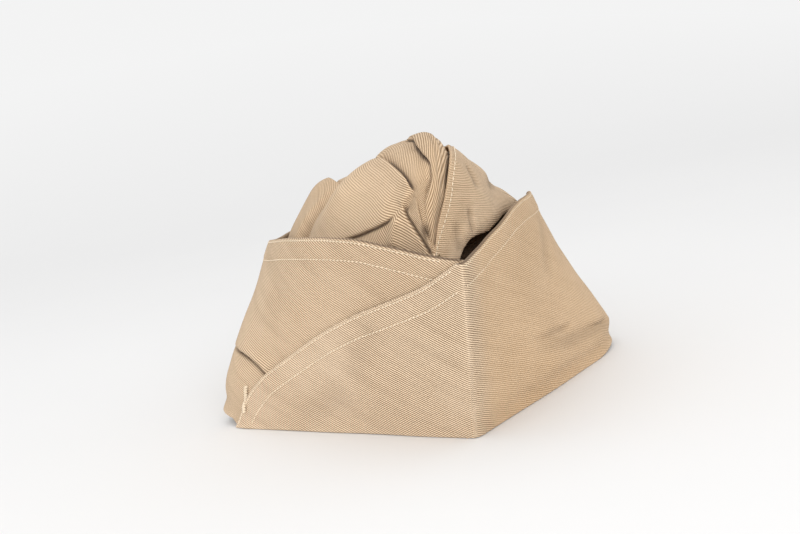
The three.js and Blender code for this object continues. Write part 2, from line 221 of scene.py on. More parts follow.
@dataclass(frozen=True)
class Crease:
    """A fold line in cloth, and how the cloth rises and falls beside it, in millimetres.

    At a distance d to the left of the trail the cloth rises by
    w·left·exp(−(d/left_reach)²) + (1−w)·right·exp(−(d/right_reach)²) − groove·exp(−(d/groove_width)²),
    where w is a smooth step over the distance `sharp`. The left side also slides over the right by
    `slide`. All of it fades out over the shares fade_in and fade_out at the trail's ends. The shade
    is a broad soft one in the groove, or with `dark` a dark line that wide, on the lower side just
    past the part that the upper side covers.
    """

    trail: Trail
    left: float = 0.0
    left_reach: float = 8.0
    right: float = 0.0
    right_reach: float = 8.0
    sharp: float = 0.8
    groove: float = 0.0
    groove_width: float = 1.0
    slide: float = 0.0
    dark: float = 0.0
    fade_in: float = 0.15
    fade_out: float = 0.15

    def shade(self, d: Array) -> Array:
        """Work out the shade, 0 to 1.

        Args:
            d: distances to the left of the trail.

        Returns:
            The shade there.
        """
        strength = min(1.0, self.groove)
        if not self.dark:
            return 0.4 * strength * bell(d, max(self.groove_width, 0.5))
        past = -np.sign(self.left - self.right) * d
        beyond = np.maximum(past - abs(self.slide) - self.sharp / 2, 0.0)
        return strength * bell(np.where(past > 0, beyond / self.dark, past / 0.4), 1.0)

    def move(self, surface: Surface, points: Array, normal: Array) -> tuple[Array, Array]:
        """Work out how this crease moves cloth.

        Args:
            surface: the plain surface.
            points: points on it.
            normal: its normals there.

        Returns:
            The displacement vectors, and how deep in the crease's shade each point lies, 0 to 1.
        """
        near = self.trail.near(surface, points, normal)
        d = near.left
        side = smooth(0.5 + d / (2.0 * self.sharp))
        fade = smooth(near.share / self.fade_in) * smooth((1.0 - near.share) / self.fade_out)
        rise = side * self.left * bell(d, self.left_reach)
        rise += (1.0 - side) * self.right * bell(d, self.right_reach)
        rise -= self.groove * bell(d, self.groove_width)
        slide = -self.slide * side * bell(2.0 * d, self.left_reach)
        moved = normal * (rise * fade)[..., None] + near.across * (slide * fade)[..., None]
        return moved, fade * self.shade(d)


@dataclass(frozen=True)
class Hem:
    """A turned and stitched hem along an edge, in millimetres.

    The cloth stands `height` proud over `width` from the edge and steps down smoothly. At a share
    b = (distance − row)/groove_width from a row of stitches it dips by groove·exp(−b²), and puckers
    by pucker·exp(−(b/3)²) times the sum of a sine of `pucker_length` along it and a longer one.
    """

    edge: Trail
    width: float = 9.3
    height: float = 0.28
    rows: tuple[float, ...] = (1.3, 9.0)
    groove: float = 0.22
    groove_width: float = 0.7
    pucker: float = 0.05
    pucker_length: float = 3.7

    def rise(self, surface: Surface, points: Array, normal: Array) -> Array:
        """Work out how far the hem raises cloth.

        Args:
            surface: the plain surface.
            points: points on it.
            normal: its normals there.

        Returns:
            The rise at each point.
        """
        near = self.edge.near(surface, points, normal)
        rise = self.height * smooth((self.width + 0.9 - near.gap) / 1.8)
        wave = np.sin(2 * np.pi * near.share * near.length / self.pucker_length)
        slow = np.sin(2 * np.pi * near.share * near.length / (self.pucker_length * 4.3))
        for place in self.rows:
            by = (near.gap - place) / self.groove_width
            rise = rise - self.groove * bell(by, 1.0) * (1.0 + 0.25 * wave)
            rise = rise + self.pucker * (wave + slow) * bell(by, 3.0)
        return rise


@dataclass(frozen=True)
class Ripple:
    """A long soft wave in cloth: height·sin(2π·(way·point)/length + phase), in millimetres."""

    way: Row
    length: float
    height: float
    phase: float = 0.0

    def rise(self, points: Array) -> Array:
        """Return how far the wave raises points."""
        along = points @ unit(np.asarray(self.way, float))
        return self.height * np.sin(2 * np.pi * along / self.length + self.phase)


@dataclass(frozen=True)
class Swell:
    """A soft bump centred on a place of a surface: height·exp(−(distance/reach)²)."""

    place: Row
    height: float
    reach: float

    def rise(self, surface: Surface, points: Array) -> Array:
        """Return how far the bump raises points."""
        centre = surface(np.array([self.place[0]]), np.array([self.place[1]]))[0]
        return self.height * np.exp(-(((points - centre) ** 2).sum(-1)) / self.reach**2)


def plan_share(along: Array, rounding: float) -> Array:
    """Return the half width of a pointed plan, (√(1+r) − √(a²+r)) / (√(1+r) − √r)."""
    tip = np.sqrt(1 + rounding)
    return (tip - np.sqrt(along * along + rounding)) / (tip - np.sqrt(rounding))


@dataclass(frozen=True)
class Wall:
    """One side of the turned-up band, in millimetres.

    A place is given by along, 1 at the front crease and −1 at the back one, and up, 0 at the rim
    and 1 at the top edge. The rim and the top edge are pointed plans, the wall runs straight
    between them, and it bulges above the rim.
    """

    side: Side
    rim_half_width: float
    rim_rounding: float
    bulge: float
    bulge_level: float
    bulge_fall: float
    lift_place: float
    lift_reach: float
    lift: float
    top_rise: Curve
    rim_half_length: float = 103.1
    edge_half_length: float = 131.1
    edge_half_width: float = 59.7
    edge_rounding: float = 1.04
    crease_height: float = 72.3
    side_height: float = 83.8
    seam_gap: float = 0.3
    crease_radius: float = 0.9
    crease_slope: float = 1.15

    def sharp_face(self, along: Array, up: Array) -> Array:
        """Work out the outer face with sharp creases, as the solid model has it.

        x and y go straight from the rim's plan to the top edge's with up. x gains
        bulge·(1 − along⁴) times a smooth step up to the bulge's level and down to the top, and z
        goes from the lift at the rim, lift·(1 − t²)², to the top edge.

        Args:
            along: places along the wall.
            up: places up the wall.

        Returns:
            The points.
        """
        along, up = np.broadcast_arrays(np.clip(along, -1, 1), np.clip(up, 0, 1))
        below = up / self.bulge_level
        level = np.where(up < self.bulge_level, below, (1 - up) / (1 - self.bulge_level))
        bulge = self.bulge * smooth(level) ** self.bulge_fall
        rim = self.rim_half_width * plan_share(along, self.rim_rounding)
        edge = self.edge_half_width * plan_share(along, self.edge_rounding)
        x = mix(rim, edge, up) + bulge * (1 - along**4)
        y = -mix(self.rim_half_length, self.edge_half_length, up) * along
        from_lift = np.clip((along - self.lift_place) / self.lift_reach, -1, 1)
        low = self.lift * (1 - from_lift**2) ** 2
        high = mix(self.crease_height, self.side_height, self.top_rise.at(along))
        shift = self.seam_gap / 2 * (1 - along) / 2
        return np.stack([self.side.value * (x + shift), y, mix(low, high, up)], -1)

    def face(self, along: Array, up: Array) -> Array:
        """Work out the outer face, with its creases rounded.

        Near a crease the plan's |x| becomes √(x² + r²), which moves y inward by
        slope·(√(x² + r²) − |x|).

        Args:
            along: places along the wall.
            up: places up the wall.

        Returns:
            The points.
        """
        points = self.sharp_face(along, up)
        x = np.abs(points[..., 0])
        shift = self.crease_slope * (np.sqrt(x * x + self.crease_radius**2) - x)
        points[..., 1] += np.where(points[..., 1] < 0, shift, -shift)
        return points

    def normal(self, along: Array, up: Array) -> Array:
        """Return outward unit normals of the face."""
        return normals(self.face, along, up, (self.side.value, 0, 0))

    def height(self, along: Array) -> Array:
        """Return the straight distance up the wall from the rim to the top edge."""
        low, high = np.zeros_like(along), np.ones_like(along)
        return np.linalg.norm(self.face(along, high) - self.face(along, low), axis=-1)


LEFT_WALL = Wall(
    side=Side.LEFT,
    rim_half_width=92.5,
    rim_rounding=0.05,
    bulge=4.6,
    bulge_level=0.15,
    bulge_fall=2.0,
    lift_place=0.05,
    lift_reach=0.25,
    lift=2.2,
    top_rise=Curve((
        (-1.0, 0.0), (-0.89, 0.15), (-0.5, 0.33), (-0.25, 0.22), (-0.1, 0.06), (0.04, 0.3), (0.18, 0.82),
        (0.28, 0.93), (0.5, 1.0), (0.64, 0.9), (0.75, 0.63), (0.83, 0.41), (0.9, 0.2), (1.0, 0.0),
    )),
)
RIGHT_WALL = Wall(
    side=Side.RIGHT,
    rim_half_width=97.2,
    rim_rounding=0.012,
    bulge=4.0,
    bulge_level=0.29,
    bulge_fall=1.0,
    lift_place=-0.03,
    lift_reach=0.14,
    lift=2.6,
    top_rise=Curve((
        (-1.0, 0.0), (-0.89, 0.15), (-0.5, 0.33), (-0.25, 0.38), (-0.1, 0.52), (0.04, 0.69), (0.18, 0.84),
        (0.28, 0.93), (0.5, 1.0), (0.64, 0.92), (0.75, 0.65), (0.83, 0.41), (0.9, 0.2), (1.0, 0.0),
    )),
)
LAP_EDGE = Curve((
    (0.0, 0.118), (0.13, 0.158), (0.28, 0.252), (0.4, 0.375), (0.56, 0.556), (0.68, 0.712),
    (0.82, 0.858), (0.92, 0.93), (1.0, 0.985),
))


def lengths_from(points: Array, axis: int, origin: int = 0) -> Array:
    """Return distances along a grid of points from one of its lines.

    Args:
        points: the grid.
        axis: the axis to measure along.
        origin: the index where the distance is 0.

    Returns:
        The distances.
    """
    step = np.linalg.norm(np.diff(points, axis=axis), axis=-1)
    start = np.zeros_like(np.take(step, [0], axis=axis))
    run = np.concatenate([start, np.cumsum(step, axis=axis)], axis=axis)
    return run - np.take(run, [origin], axis=axis)


def add_mesh(
    name: str, points: Array, faces: list[list[int]], finish: bpy.types.Material
) -> bpy.types.Object:
    """Put a smooth mesh into the scene.

    Args:
        name: its name.
        points: its points, in metres.
        faces: the numbers of each face's points.
        finish: the material.

    Returns:
        The new object.
    """
    mesh = bpy.data.meshes.new(name)
    mesh.from_pydata(points, [], faces)
    mesh.shade_smooth()
    mesh.materials.append(finish)
    made = bpy.data.objects.new(name, mesh)
    bpy.context.scene.collection.objects.link(made)
    return made


def corner_points(mesh: bpy.types.Mesh) -> Array:
    """Read the number of the point at each corner of the faces.

    Args:
        mesh: the mesh.

    Returns:
        The numbers.
    """
    corner = np.zeros(len(mesh.loops), np.int32)
    mesh.loops.foreach_get("vertex_index", corner)
    return corner


def write_uv(mesh: bpy.types.Mesh, name: str, places: Array) -> None:
    """Write a UV map of each corner's place, given in millimetres."""
    layer = mesh.uv_layers.new(name=name)
    layer.data.foreach_set("uv", np.ascontiguousarray(places * MILLIMETRE, np.float32).ravel())


def rings_around(
    centre: Array, across: Array, up: Array, radius: Array | float, turn: Array, flat: float = 1.0
) -> Array:
    """Work out rings of points, centre + radius·(cos t·across + flat·sin t·up).

    Args:
        centre: the rings' centres.
        across: unit vectors across the thread.
        up: unit vectors up from the cloth.
        radius: the rings' radius.
        turn: the angle t of each point.
        flat: the share of the radius that is left upward.

    Returns:
        The points, with an axis for the turns before the last.
    """
    upward = flat * np.sin(turn)[:, None] * up[..., None, :]
    ways = np.cos(turn)[:, None] * across[..., None, :] + upward
    return centre[..., None, :] + np.asarray(radius)[..., None] * ways


def add_tubes(name: str, rings: Array, places: Array, finish: bpy.types.Material) -> bpy.types.Object:
    """Make tubes of thread. Each ring joins the next one, and a cap closes each end.

    Args:
        name: the name of the mesh that holds them all.
        rings: their points in millimetres, shaped (tubes, rings, sides, 3).
        places: the points' places in the UV map, in millimetres, shaped (tubes, rings, sides, 2).
        finish: the material.

    Returns:
        The new object.
    """
    tubes, count, sides = rings.shape[:3]
    index = np.arange(count * sides).reshape(count, sides)
    ahead = np.roll(index, -1, axis=1)
    quads = np.stack([index[:-1], ahead[:-1], ahead[1:], index[1:]], -1).reshape(-1, 4)
    offset = (np.arange(tubes) * count * sides)[:, None, None]
    body = (quads[None] + offset).reshape(-1, 4)
    caps = (np.stack([index[0][::-1], index[-1]])[None] + offset).reshape(-1, sides)
    made = add_mesh(name, rings.reshape(-1, 3) * MILLIMETRE, body.tolist() + caps.tolist(), finish)
    write_uv(made.data, "thread_mm", places.reshape(-1, 2)[corner_points(made.data)])
    return made


@dataclass
class Paint:
    """What cloth carries, each 0 to 1: wear and painted light, painted shade, warm tint; and twill
    strength.
    """

    wear_and_light: Array
    shade: Array
    warm: Array
    relief: Array

    @classmethod
    def plain(cls, shape: tuple[int, ...]) -> "Paint":
        """Return paint with nothing on it and the twill at its usual strength."""
        return cls(np.zeros(shape), np.zeros(shape), np.zeros(shape), np.full(shape, 0.5))

    def stacked(self) -> Array:
        """Return the four shares as one array of colours."""
        return np.stack([self.wear_and_light, self.shade, self.warm, self.relief], -1)


@dataclass
class Cloth:
    """A piece of cloth as a grid of outer points, with what its mesh needs, in millimetres.

    The inner face lies square under the outer one by the thickness. Each edge of the sheet is a
    half round. The twill's ribs run along the first axis of the UV map.
    """

    name: str
    outer: Array
    outward: Row
    thickness: float
    grain: Array
    paint: Paint
    flat: Array
    inner_shade: float = 0.0
    edge_shade: Array | float = 0.0
    edge_steps: tuple[float, ...] = (22.0, 45.0, 68.0, 90.0)

    def grid_normals(self) -> Array:
        """Work out the outer grid's normals, the cross products of its steps both ways.

        Returns:
            Unit vectors on the cloth's outward side at its middle.
        """
        rows = np.gradient(self.outer, axis=0)
        columns = np.gradient(self.outer, axis=1)
        n = unit(np.cross(columns, rows))
        middle = n[n.shape[0] // 2, n.shape[1] // 2]
        return n if middle @ np.asarray(self.outward, float) > 0 else -n

    def with_round_ends(self, outer: Array, inner: Array) -> tuple[Array, Array]:
        """Add columns at both ends that close the sheet with a half round.

        Each added column turns by an angle t from the end column: its two faces lie at
        middle ± cos t·half the thickness, and it stands out by sin t·half the thickness.

        Args:
            outer: the outer face's points, a row for each step up it.
            inner: the inner face's points.

        Returns:
            Both faces with the added columns.
        """
        start, end = [], []
        for angle in np.radians(self.edge_steps):
            for kept, at, beside in ((start, 0, 1), (end, -1, -2)):
                middle = (outer[:, at] + inner[:, at]) / 2
                out = unit(middle - (outer[:, beside] + inner[:, beside]) / 2)
                half = (outer[:, at] - inner[:, at]) / 2 * max(np.cos(angle), 0.03)
                push = out * np.sin(angle) * self.thickness / 2
                kept.append((middle + push + half, middle + push - half))
        start = start[::-1]
        outer = np.stack([p for p, _ in start] + list(outer.swapaxes(0, 1)) + [p for p, _ in end], 1)
        inner = np.stack([p for _, p in start] + list(inner.swapaxes(0, 1)) + [p for _, p in end], 1)
        return outer, inner

    def loop(self, outer: Array, inner: Array) -> Array:
        """Join both faces over their top and bottom edges with half rounds.

        At an angle t the half round stands at middle + cos t·half + sin t·radius outward.

        Args:
            outer: the outer face's points, a row for each step up it.
            inner: the inner face's points.

        Returns:
            For each column, the closed line up the outer face and down the inner one.
        """
        angles = np.radians(self.edge_steps[:-1] + tuple(180 - a for a in self.edge_steps[::-1]))
        parts = [outer]
        for at, beside in ((-1, -2), (0, 1)):
            middle = (outer[at] + inner[at]) / 2
            half = (outer[at] - inner[at]) / 2
            radius = np.linalg.norm(half, axis=-1, keepdims=True)
            out = unit(middle - (outer[beside] + inner[beside]) / 2)
            turned = angles if at == -1 else angles[::-1]
            arc = [middle + half * np.cos(t) + out * radius * np.sin(t) for t in turned]
            parts.append(np.stack(arc))
            if at == -1:
                parts.append(inner[::-1])
        return np.concatenate(parts)

    def build(self, finish: bpy.types.Material) -> bpy.types.Object:
        """Make the piece's mesh, closed and facing outward, with its UV map and paint.

        Args:
            finish: the material.

        Returns:
            The new object.
        """
        inner = self.outer - self.grid_normals() * self.thickness
        wide_outer, wide_inner = self.with_round_ends(self.outer, inner)
        ring = self.loop(wide_outer, wide_inner)
        ring[..., 2] = np.maximum(ring[..., 2], 0.0)
        count, width = ring.shape[:2]
        rows, columns = self.outer.shape[:2]
        arc = (count - 2 * rows) // 2
        extra = len(self.edge_steps)
        source_row = np.concatenate([
            np.arange(rows), np.full(arc, rows - 1), np.arange(rows)[::-1], np.zeros(arc, int),
        ])
        source_column = np.clip(np.arange(width) - extra, 0, columns - 1)
        index = np.arange(count * width).reshape(count, width)
        ahead = np.roll(index, -1, axis=0)
        quads = np.stack([index[:, :-1], index[:, 1:], ahead[:, 1:], ahead[:, :-1]], -1)
        caps = self.cap_faces(index, rows, arc)
        faces = quads.reshape(-1, 4)
        points = ring.reshape(-1, 3) * MILLIMETRE
        a, b, c, d = (points[faces[:, k]] for k in range(4))
        volume = dot(a, np.cross(b, c)).sum() + dot(a, np.cross(c, d)).sum()
        if volume < 0:
            faces = faces[:, ::-1]
            caps = [cap[::-1] for cap in caps]
        made = add_mesh(self.name, points, faces.tolist() + caps, finish)
        mesh = made.data
        places = self.flat[source_row[:, None], source_column[None, :]].reshape(-1, 2)
        places = places + self.overrun(ring, source_row, source_column).reshape(-1, 2)
        self.write_map(mesh, places, source_row, source_column, width)
        colours = self.paint.stacked()[source_row[:, None], source_column[None, :]]
        inside = colours[rows + arc // 2 : 2 * rows + arc, :, 1]
        inside[:] = np.maximum(inside, self.inner_shade)
        over = colours[rows + 1 : rows + arc, extra:-extra, 1]
        over[:] = np.maximum(over, self.edge_shade)
        colours = colours.reshape(-1, 4)
        layer = mesh.attributes.new("cloth", "FLOAT_COLOR", "POINT")
        layer.data.foreach_set("color", np.ascontiguousarray(colours, np.float32).ravel())
        mesh.validate()
        return made

    def cap_faces(self, index: Array, rows: int, arc: int) -> list[list[int]]:
        """Close the first and last columns of the ring.

        Args:
            index: the numbers of the ring's points.
            rows: how many rows each face of the cloth has.
            arc: how many points each half round adds.

        Returns:
            The faces.
        """
        faces = []
        for at, turn in ((0, 1), (-1, -1)):
            line = index[:, at]
            opposite = np.roll(line[::-1], -arc)
            strip = [
                [int(line[r]), int(line[r + 1]), int(opposite[r + 1]), int(opposite[r])][::turn]
                for r in range(rows - 1)
            ]
            top = [int(i) for i in line[rows - 1 : rows + arc + 1]][::turn]
            low = [int(i) for i in np.append(line[2 * rows + arc - 1 :], line[0])][::turn]
            faces += strip + [top, low]
        return faces

    def overrun(self, ring: Array, source_row: Array, source_column: Array) -> Array:
        """Work out how far points beyond the grid lie from their source in the flat cloth.

        Args:
            ring: the ring's points.
            source_row: the grid's row that each of its rows comes from.
            source_column: the grid's column that each of its columns comes from.

        Returns:
            The offsets along both axes of the flat cloth.
        """
        gap = ring - self.outer[source_row[:, None], source_column[None, :]]
        columns = self.outer.shape[1]
        beyond = np.zeros(ring.shape[:2] + (2,))
        extra = len(self.edge_steps)
        length = np.linalg.norm(gap, axis=-1)
        beyond[:, :extra, 0] = -length[:, :extra]
        beyond[:, columns + extra :, 0] = length[:, columns + extra :]
        rows = self.outer.shape[0]
        beyond[rows:, :, 1] = np.where(source_row[rows:, None] > rows // 2, length[rows:], -length[rows:])
        return beyond

    def write_map(
        self, mesh: bpy.types.Mesh, places: Array, source_row: Array, source_column: Array, width: int
    ) -> None:
        """Write the UV map, each face turned so that the twill's ribs run along its first axis.

        Args:
            mesh: the mesh.
            places: its points' places in the flat cloth.
            source_row: the grid's row that each row of points comes from.
            source_column: the grid's column that each column of points comes from.
            width: how many columns of points it has.
        """
        corner = corner_points(mesh)
        starts = np.zeros(len(mesh.polygons), np.int32)
        totals = np.zeros(len(mesh.polygons), np.int32)
        mesh.polygons.foreach_get("loop_start", starts)
        mesh.polygons.foreach_get("loop_total", totals)
        low = np.minimum.reduceat(source_row[corner // width], starts)
        left = np.minimum.reduceat(source_column[corner % width], starts)
        low = np.clip(low, 0, self.grain.shape[0] - 1)
        left = np.clip(left, 0, self.grain.shape[1] - 1)
        turn = np.repeat(np.radians(self.grain[low, left]), totals)
        u, v = places[corner].T
        turned = np.stack([np.cos(turn) * u + np.sin(turn) * v, np.cos(turn) * v - np.sin(turn) * u], -1)
        write_uv(mesh, "cloth_mm", turned)


class Graph:
    """Short calls that add nodes to a material and join them."""

    def __init__(self, name: str) -> None:
        """Start a material with a Principled shader.

        Args:
            name: the material's name.
        """
        self.material = bpy.data.materials.new(name)
        self.material.use_nodes = True
        self.tree = self.material.node_tree
        self.shader = self.tree.nodes["Principled BSDF"]

    def put(self, socket: bpy.types.NodeSocket, value: object) -> None:
        """Join an output to a socket, or set the socket to a value.

        Args:
            socket: the socket.
            value: the output or the value.
        """
        if isinstance(value, bpy.types.NodeSocket):
            self.tree.links.new(value, socket)
        else:
            socket.default_value = value

    def node(self, kind: str, settings: dict[str, object], inputs: dict[object, object]) -> bpy.types.Node:
        """Add a node.

        Args:
            kind: its type.
            settings: its own settings by name.
            inputs: values or outputs for its sockets, by name or number.

        Returns:
            The node.
        """
        made = self.tree.nodes.new(kind)
        for key, value in settings.items():
            setattr(made, key, value)
        for key, value in inputs.items():
            self.put(made.inputs[key], value)
        return made

    def finished(self, inputs: dict[str, object]) -> bpy.types.Material:
        """Give the shader its inputs.

        Args:
            inputs: values or outputs by the name of the socket.

        Returns:
            The material.
        """
        for name, value in inputs.items():
            self.put(self.shader.inputs[name], value)
        return self.material

    def math(self, operation: str, *values: object) -> bpy.types.NodeSocket:
        """Return the result of a Math node."""
        made = self.node("ShaderNodeMath", {"operation": operation}, dict(enumerate(values)))
        return made.outputs[0]

    def noise(
        self, vector: object, scale: float, detail: float, rough: float = 0.5
    ) -> bpy.types.NodeSocket:
        """Return a noise from 0 to 1."""
        inputs = {"Vector": vector, "Scale": scale, "Detail": detail, "Roughness": rough}
        return self.node("ShaderNodeTexNoise", {}, inputs).outputs[0]

    def stretch(self, vector: object, scale: Row) -> bpy.types.NodeSocket:
        """Return a vector scaled by its own factor on each axis."""
        made = self.node("ShaderNodeVectorMath", {"operation": "MULTIPLY"}, {0: vector, 1: scale})
        return made.outputs[0]

    def remap(
        self, value: object, low: float, high: float, to_low: float, to_high: float
    ) -> bpy.types.NodeSocket:
        """Return a value carried from one range to another and held within it."""
        inputs = {0: value, 1: low, 2: high, 3: to_low, 4: to_high}
        return self.node("ShaderNodeMapRange", {}, inputs).outputs[0]

    def blend(self, share: object, a: object, b: object, way: str = "MIX") -> bpy.types.NodeSocket:
        """Mix two colours.

        Args:
            share: the second colour's share.
            a: the first colour.
            b: the second colour.
            way: the way to mix them.

        Returns:
            The mixed colour.
        """
        settings = {"data_type": "RGBA", "blend_type": way}
        made = self.node("ShaderNodeMix", settings, {0: share, 6: a, 7: b})
        return made.outputs[2]


@dataclass(frozen=True)
class TwillFinish:
    """Washed khaki cotton twill.

    The ribs are cosine waves across the UV map's second axis, which sway a little. Each rib is
    made of short floats of yarn, out of step with the next rib's. The height of ribs, floats and
    slubs, made steeper by the painted relief, mixes the colour between a painted shade in the
    grooves and a painted light on the crests. Fading, streaks, wear on the edges, painted light,
    a warm tint and the painted shade go over it. Lengths are in millimetres.
    """

    rib: float = 0.87
    float_length: float = 1.9
    float_step: float = 0.37
    sway: float = 0.7
    float_height: float = 0.035
    slub_height: float = 0.2
    fuzz_height: float = 0.32
    steepness: float = 3.6
    middle: float = 0.66
    most_warm_tint: float = 0.5
    most_shade: float = 0.93
    # The next two colours: painted light on the ribs' tops and painted shade in their grooves.
    crest: Row = (0.8, 0.612, 0.425, 1.0)
    valley_shade: Row = (0.15, 0.09, 0.045, 1.0)
    # The colour of wear and of painted light.
    wear_and_light: Row = (0.78, 0.63, 0.47, 1.0)
    warm_tint: Row = (0.65, 0.41, 0.2, 1.0)
    deep: Row = (0.075, 0.042, 0.023, 1.0)
    faded: Row = (0.66, 0.515, 0.375, 1.0)
    bump_depth: float = 0.00022
    roughness: float = 0.88
    sheen: float = 0.12

    def make(self) -> bpy.types.Material:
        """Make the material, with the ribs' height as its bump.

        Returns:
            The material.
        """
        g = Graph("khaki_twill")
        place = g.node("ShaderNodeUVMap", {"uv_map": "cloth_mm"}, {}).outputs[0]
        spot = g.node("ShaderNodeTexCoord", {}, {}).outputs["Object"]
        painted = g.node("ShaderNodeAttribute", {"attribute_name": "cloth"}, {})
        split = g.node("ShaderNodeSeparateColor", {}, {0: painted.outputs["Color"]})
        wear_and_light, shade, warm = split.outputs[0], split.outputs[1], split.outputs[2]
        relief = painted.outputs["Alpha"]
        drift = g.noise(place, 95.0, 1.0)
        axes = g.node("ShaderNodeSeparateXYZ", {}, {0: place})
        sway = g.math("MULTIPLY", g.math("SUBTRACT", drift, 0.5), self.sway * MILLIMETRE)
        across = g.math("DIVIDE", g.math("ADD", axes.outputs[1], sway), self.rib * MILLIMETRE)
        along = g.math("DIVIDE", axes.outputs[0], self.float_length * MILLIMETRE)
        wave = g.math("COSINE", g.math("MULTIPLY", across, 2 * np.pi))
        ribs = g.math("MULTIPLY_ADD", wave, 0.5, 0.5)
        stagger = g.math("MULTIPLY", g.math("FLOOR", g.math("ADD", across, 0.5)), self.float_step)
        yarn = g.math("SINE", g.math("MULTIPLY", g.math("ADD", along, stagger), 2 * np.pi))
        slub = g.noise(g.stretch(place, (260.0, 1500.0, 1.0)), 1.0, 2.0, 0.6)
        fuzz = g.noise(spot, 2600.0, 2.0, 0.7)
        height = g.math("MULTIPLY_ADD", yarn, self.float_height, ribs)
        height = g.math("MULTIPLY_ADD", g.math("SUBTRACT", slub, 0.5), self.slub_height, height)
        steep = g.math("MULTIPLY", relief, self.steepness)
        crest = g.math("SUBTRACT", height, 0.5)
        level = g.math("MULTIPLY_ADD", crest, steep, self.middle)
        # Painted shade in the grooves between the ribs and painted light on their tops, by the ribs'
        # height.
        colour = g.blend(g.remap(level, 0.0, 1.0, 0.0, 1.0), self.valley_shade, self.crest)
        cloudy = g.noise(spot, 24.0, 3.0, 0.55)
        patch = g.remap(cloudy, 0.38, 0.68, 0.0, 0.36)
        colour = g.blend(patch, colour, self.faded)
        streak = g.noise(g.stretch(place, (18.0, 240.0, 1.0)), 1.0, 2.0, 0.5)
        colour = g.blend(g.remap(streak, 0.45, 0.75, 0.0, 0.16), colour, self.valley_shade)
        # Wear and painted light lighten the colour.
        wear_and_light_share = g.math("MULTIPLY", wear_and_light, g.remap(g.noise(spot, 420.0, 2.0), 0.3, 0.7, 0.45, 1.0))
        colour = g.blend(wear_and_light_share, colour, self.wear_and_light)
        colour = g.blend(g.math("MULTIPLY", warm, self.most_warm_tint), colour, self.warm_tint)
        colour = g.blend(g.math("MULTIPLY", shade, self.most_shade), colour, self.deep)
        total = g.math("MULTIPLY_ADD", g.math("SUBTRACT", fuzz, 0.5), self.fuzz_height, height)
        bump_inputs = {"Strength": 0.9, "Distance": self.bump_depth, "Height": total}
        bump = g.node("ShaderNodeBump", {}, bump_inputs)
        return g.finished({
            "Base Color": colour,
            "Normal": bump.outputs[0],
            "Roughness": self.roughness,
            "Specular IOR Level": 0.22,
            "Sheen Weight": self.sheen,
            "Sheen Roughness": 0.5,
            "Sheen Tint": (0.92, 0.84, 0.72, 1.0),
        })


@dataclass(frozen=True)
class ThreadFinish:
    """Cream sewing thread of two twisted plies, shade painted between them, darkened a little by dust."""

    light: Row = (0.83, 0.7, 0.53, 1.0)
    dark: Row = (0.5, 0.39, 0.26, 1.0)
    ply: float = 0.5
    roughness: float = 0.7

    def make(self) -> bpy.types.Material:
        """Make the material, with the plies as a sine along the thread and around it.

        Returns:
            The material.
        """
        g = Graph("cream_thread")
        place = g.node("ShaderNodeUVMap", {"uv_map": "thread_mm"}, {}).outputs[0]
        spot = g.node("ShaderNodeTexCoord", {}, {}).outputs["Object"]
        axes = g.node("ShaderNodeSeparateXYZ", {}, {0: place})
        along = g.math("DIVIDE", axes.outputs[0], self.ply * MILLIMETRE)
        turn = g.math("MULTIPLY", g.math("ADD", along, axes.outputs[1]), 2 * np.pi)
        ply = g.math("MULTIPLY_ADD", g.math("SINE", turn), 0.5, 0.5)
        dust = g.noise(spot, 160.0, 2.0)
        # Painted shade in the grooves between the plies.
        colour = g.blend(g.remap(ply, 0.0, 1.0, 0.35, 0.0), self.light, self.dark)
        colour = g.blend(g.remap(dust, 0.35, 0.7, 0.0, 0.4), colour, self.dark)
        bump = g.node("ShaderNodeBump", {}, {"Strength": 0.6, "Distance": 0.00008, "Height": ply})
        return g.finished({
            "Base Color": colour,
            "Normal": bump.outputs[0],
            "Roughness": self.roughness,
            "Specular IOR Level": 0.3,
            "Sheen Weight": 0.15,
        })


@dataclass(frozen=True)
class FloorFinish:
    """Matte white studio paper with a faint tooth, which glows from `near` to `far` metres away."""

    colour: Row = (0.775, 0.775, 0.775, 1.0)
    shade: Row = (0.76, 0.76, 0.762, 1.0)
    glow: float = 0.9
    near: float = 0.45
    far: float = 2.4

    def make(self) -> bpy.types.Material:
        """Make the material.

        Returns:
            The material.
        """
        g = Graph("studio_paper")
        spot = g.node("ShaderNodeTexCoord", {}, {}).outputs["Object"]
        tooth = g.noise(spot, 6.0, 2.0)
        away = g.node("ShaderNodeVectorMath", {"operation": "LENGTH"}, {0: spot}).outputs["Value"]
        share = g.remap(away, self.near, self.far, 0.0, 1.0)
        paper = g.blend(tooth, self.colour, self.shade)
        return g.finished({
            "Base Color": g.blend(share, paper, (0.0, 0.0, 0.0, 1.0)),
            "Roughness": 0.95,
            "IOR": 1.0,
            "Emission Color": (1.0, 1.0, 1.0, 1.0),
            "Emission Strength": g.math("MULTIPLY", share, self.glow),
        })


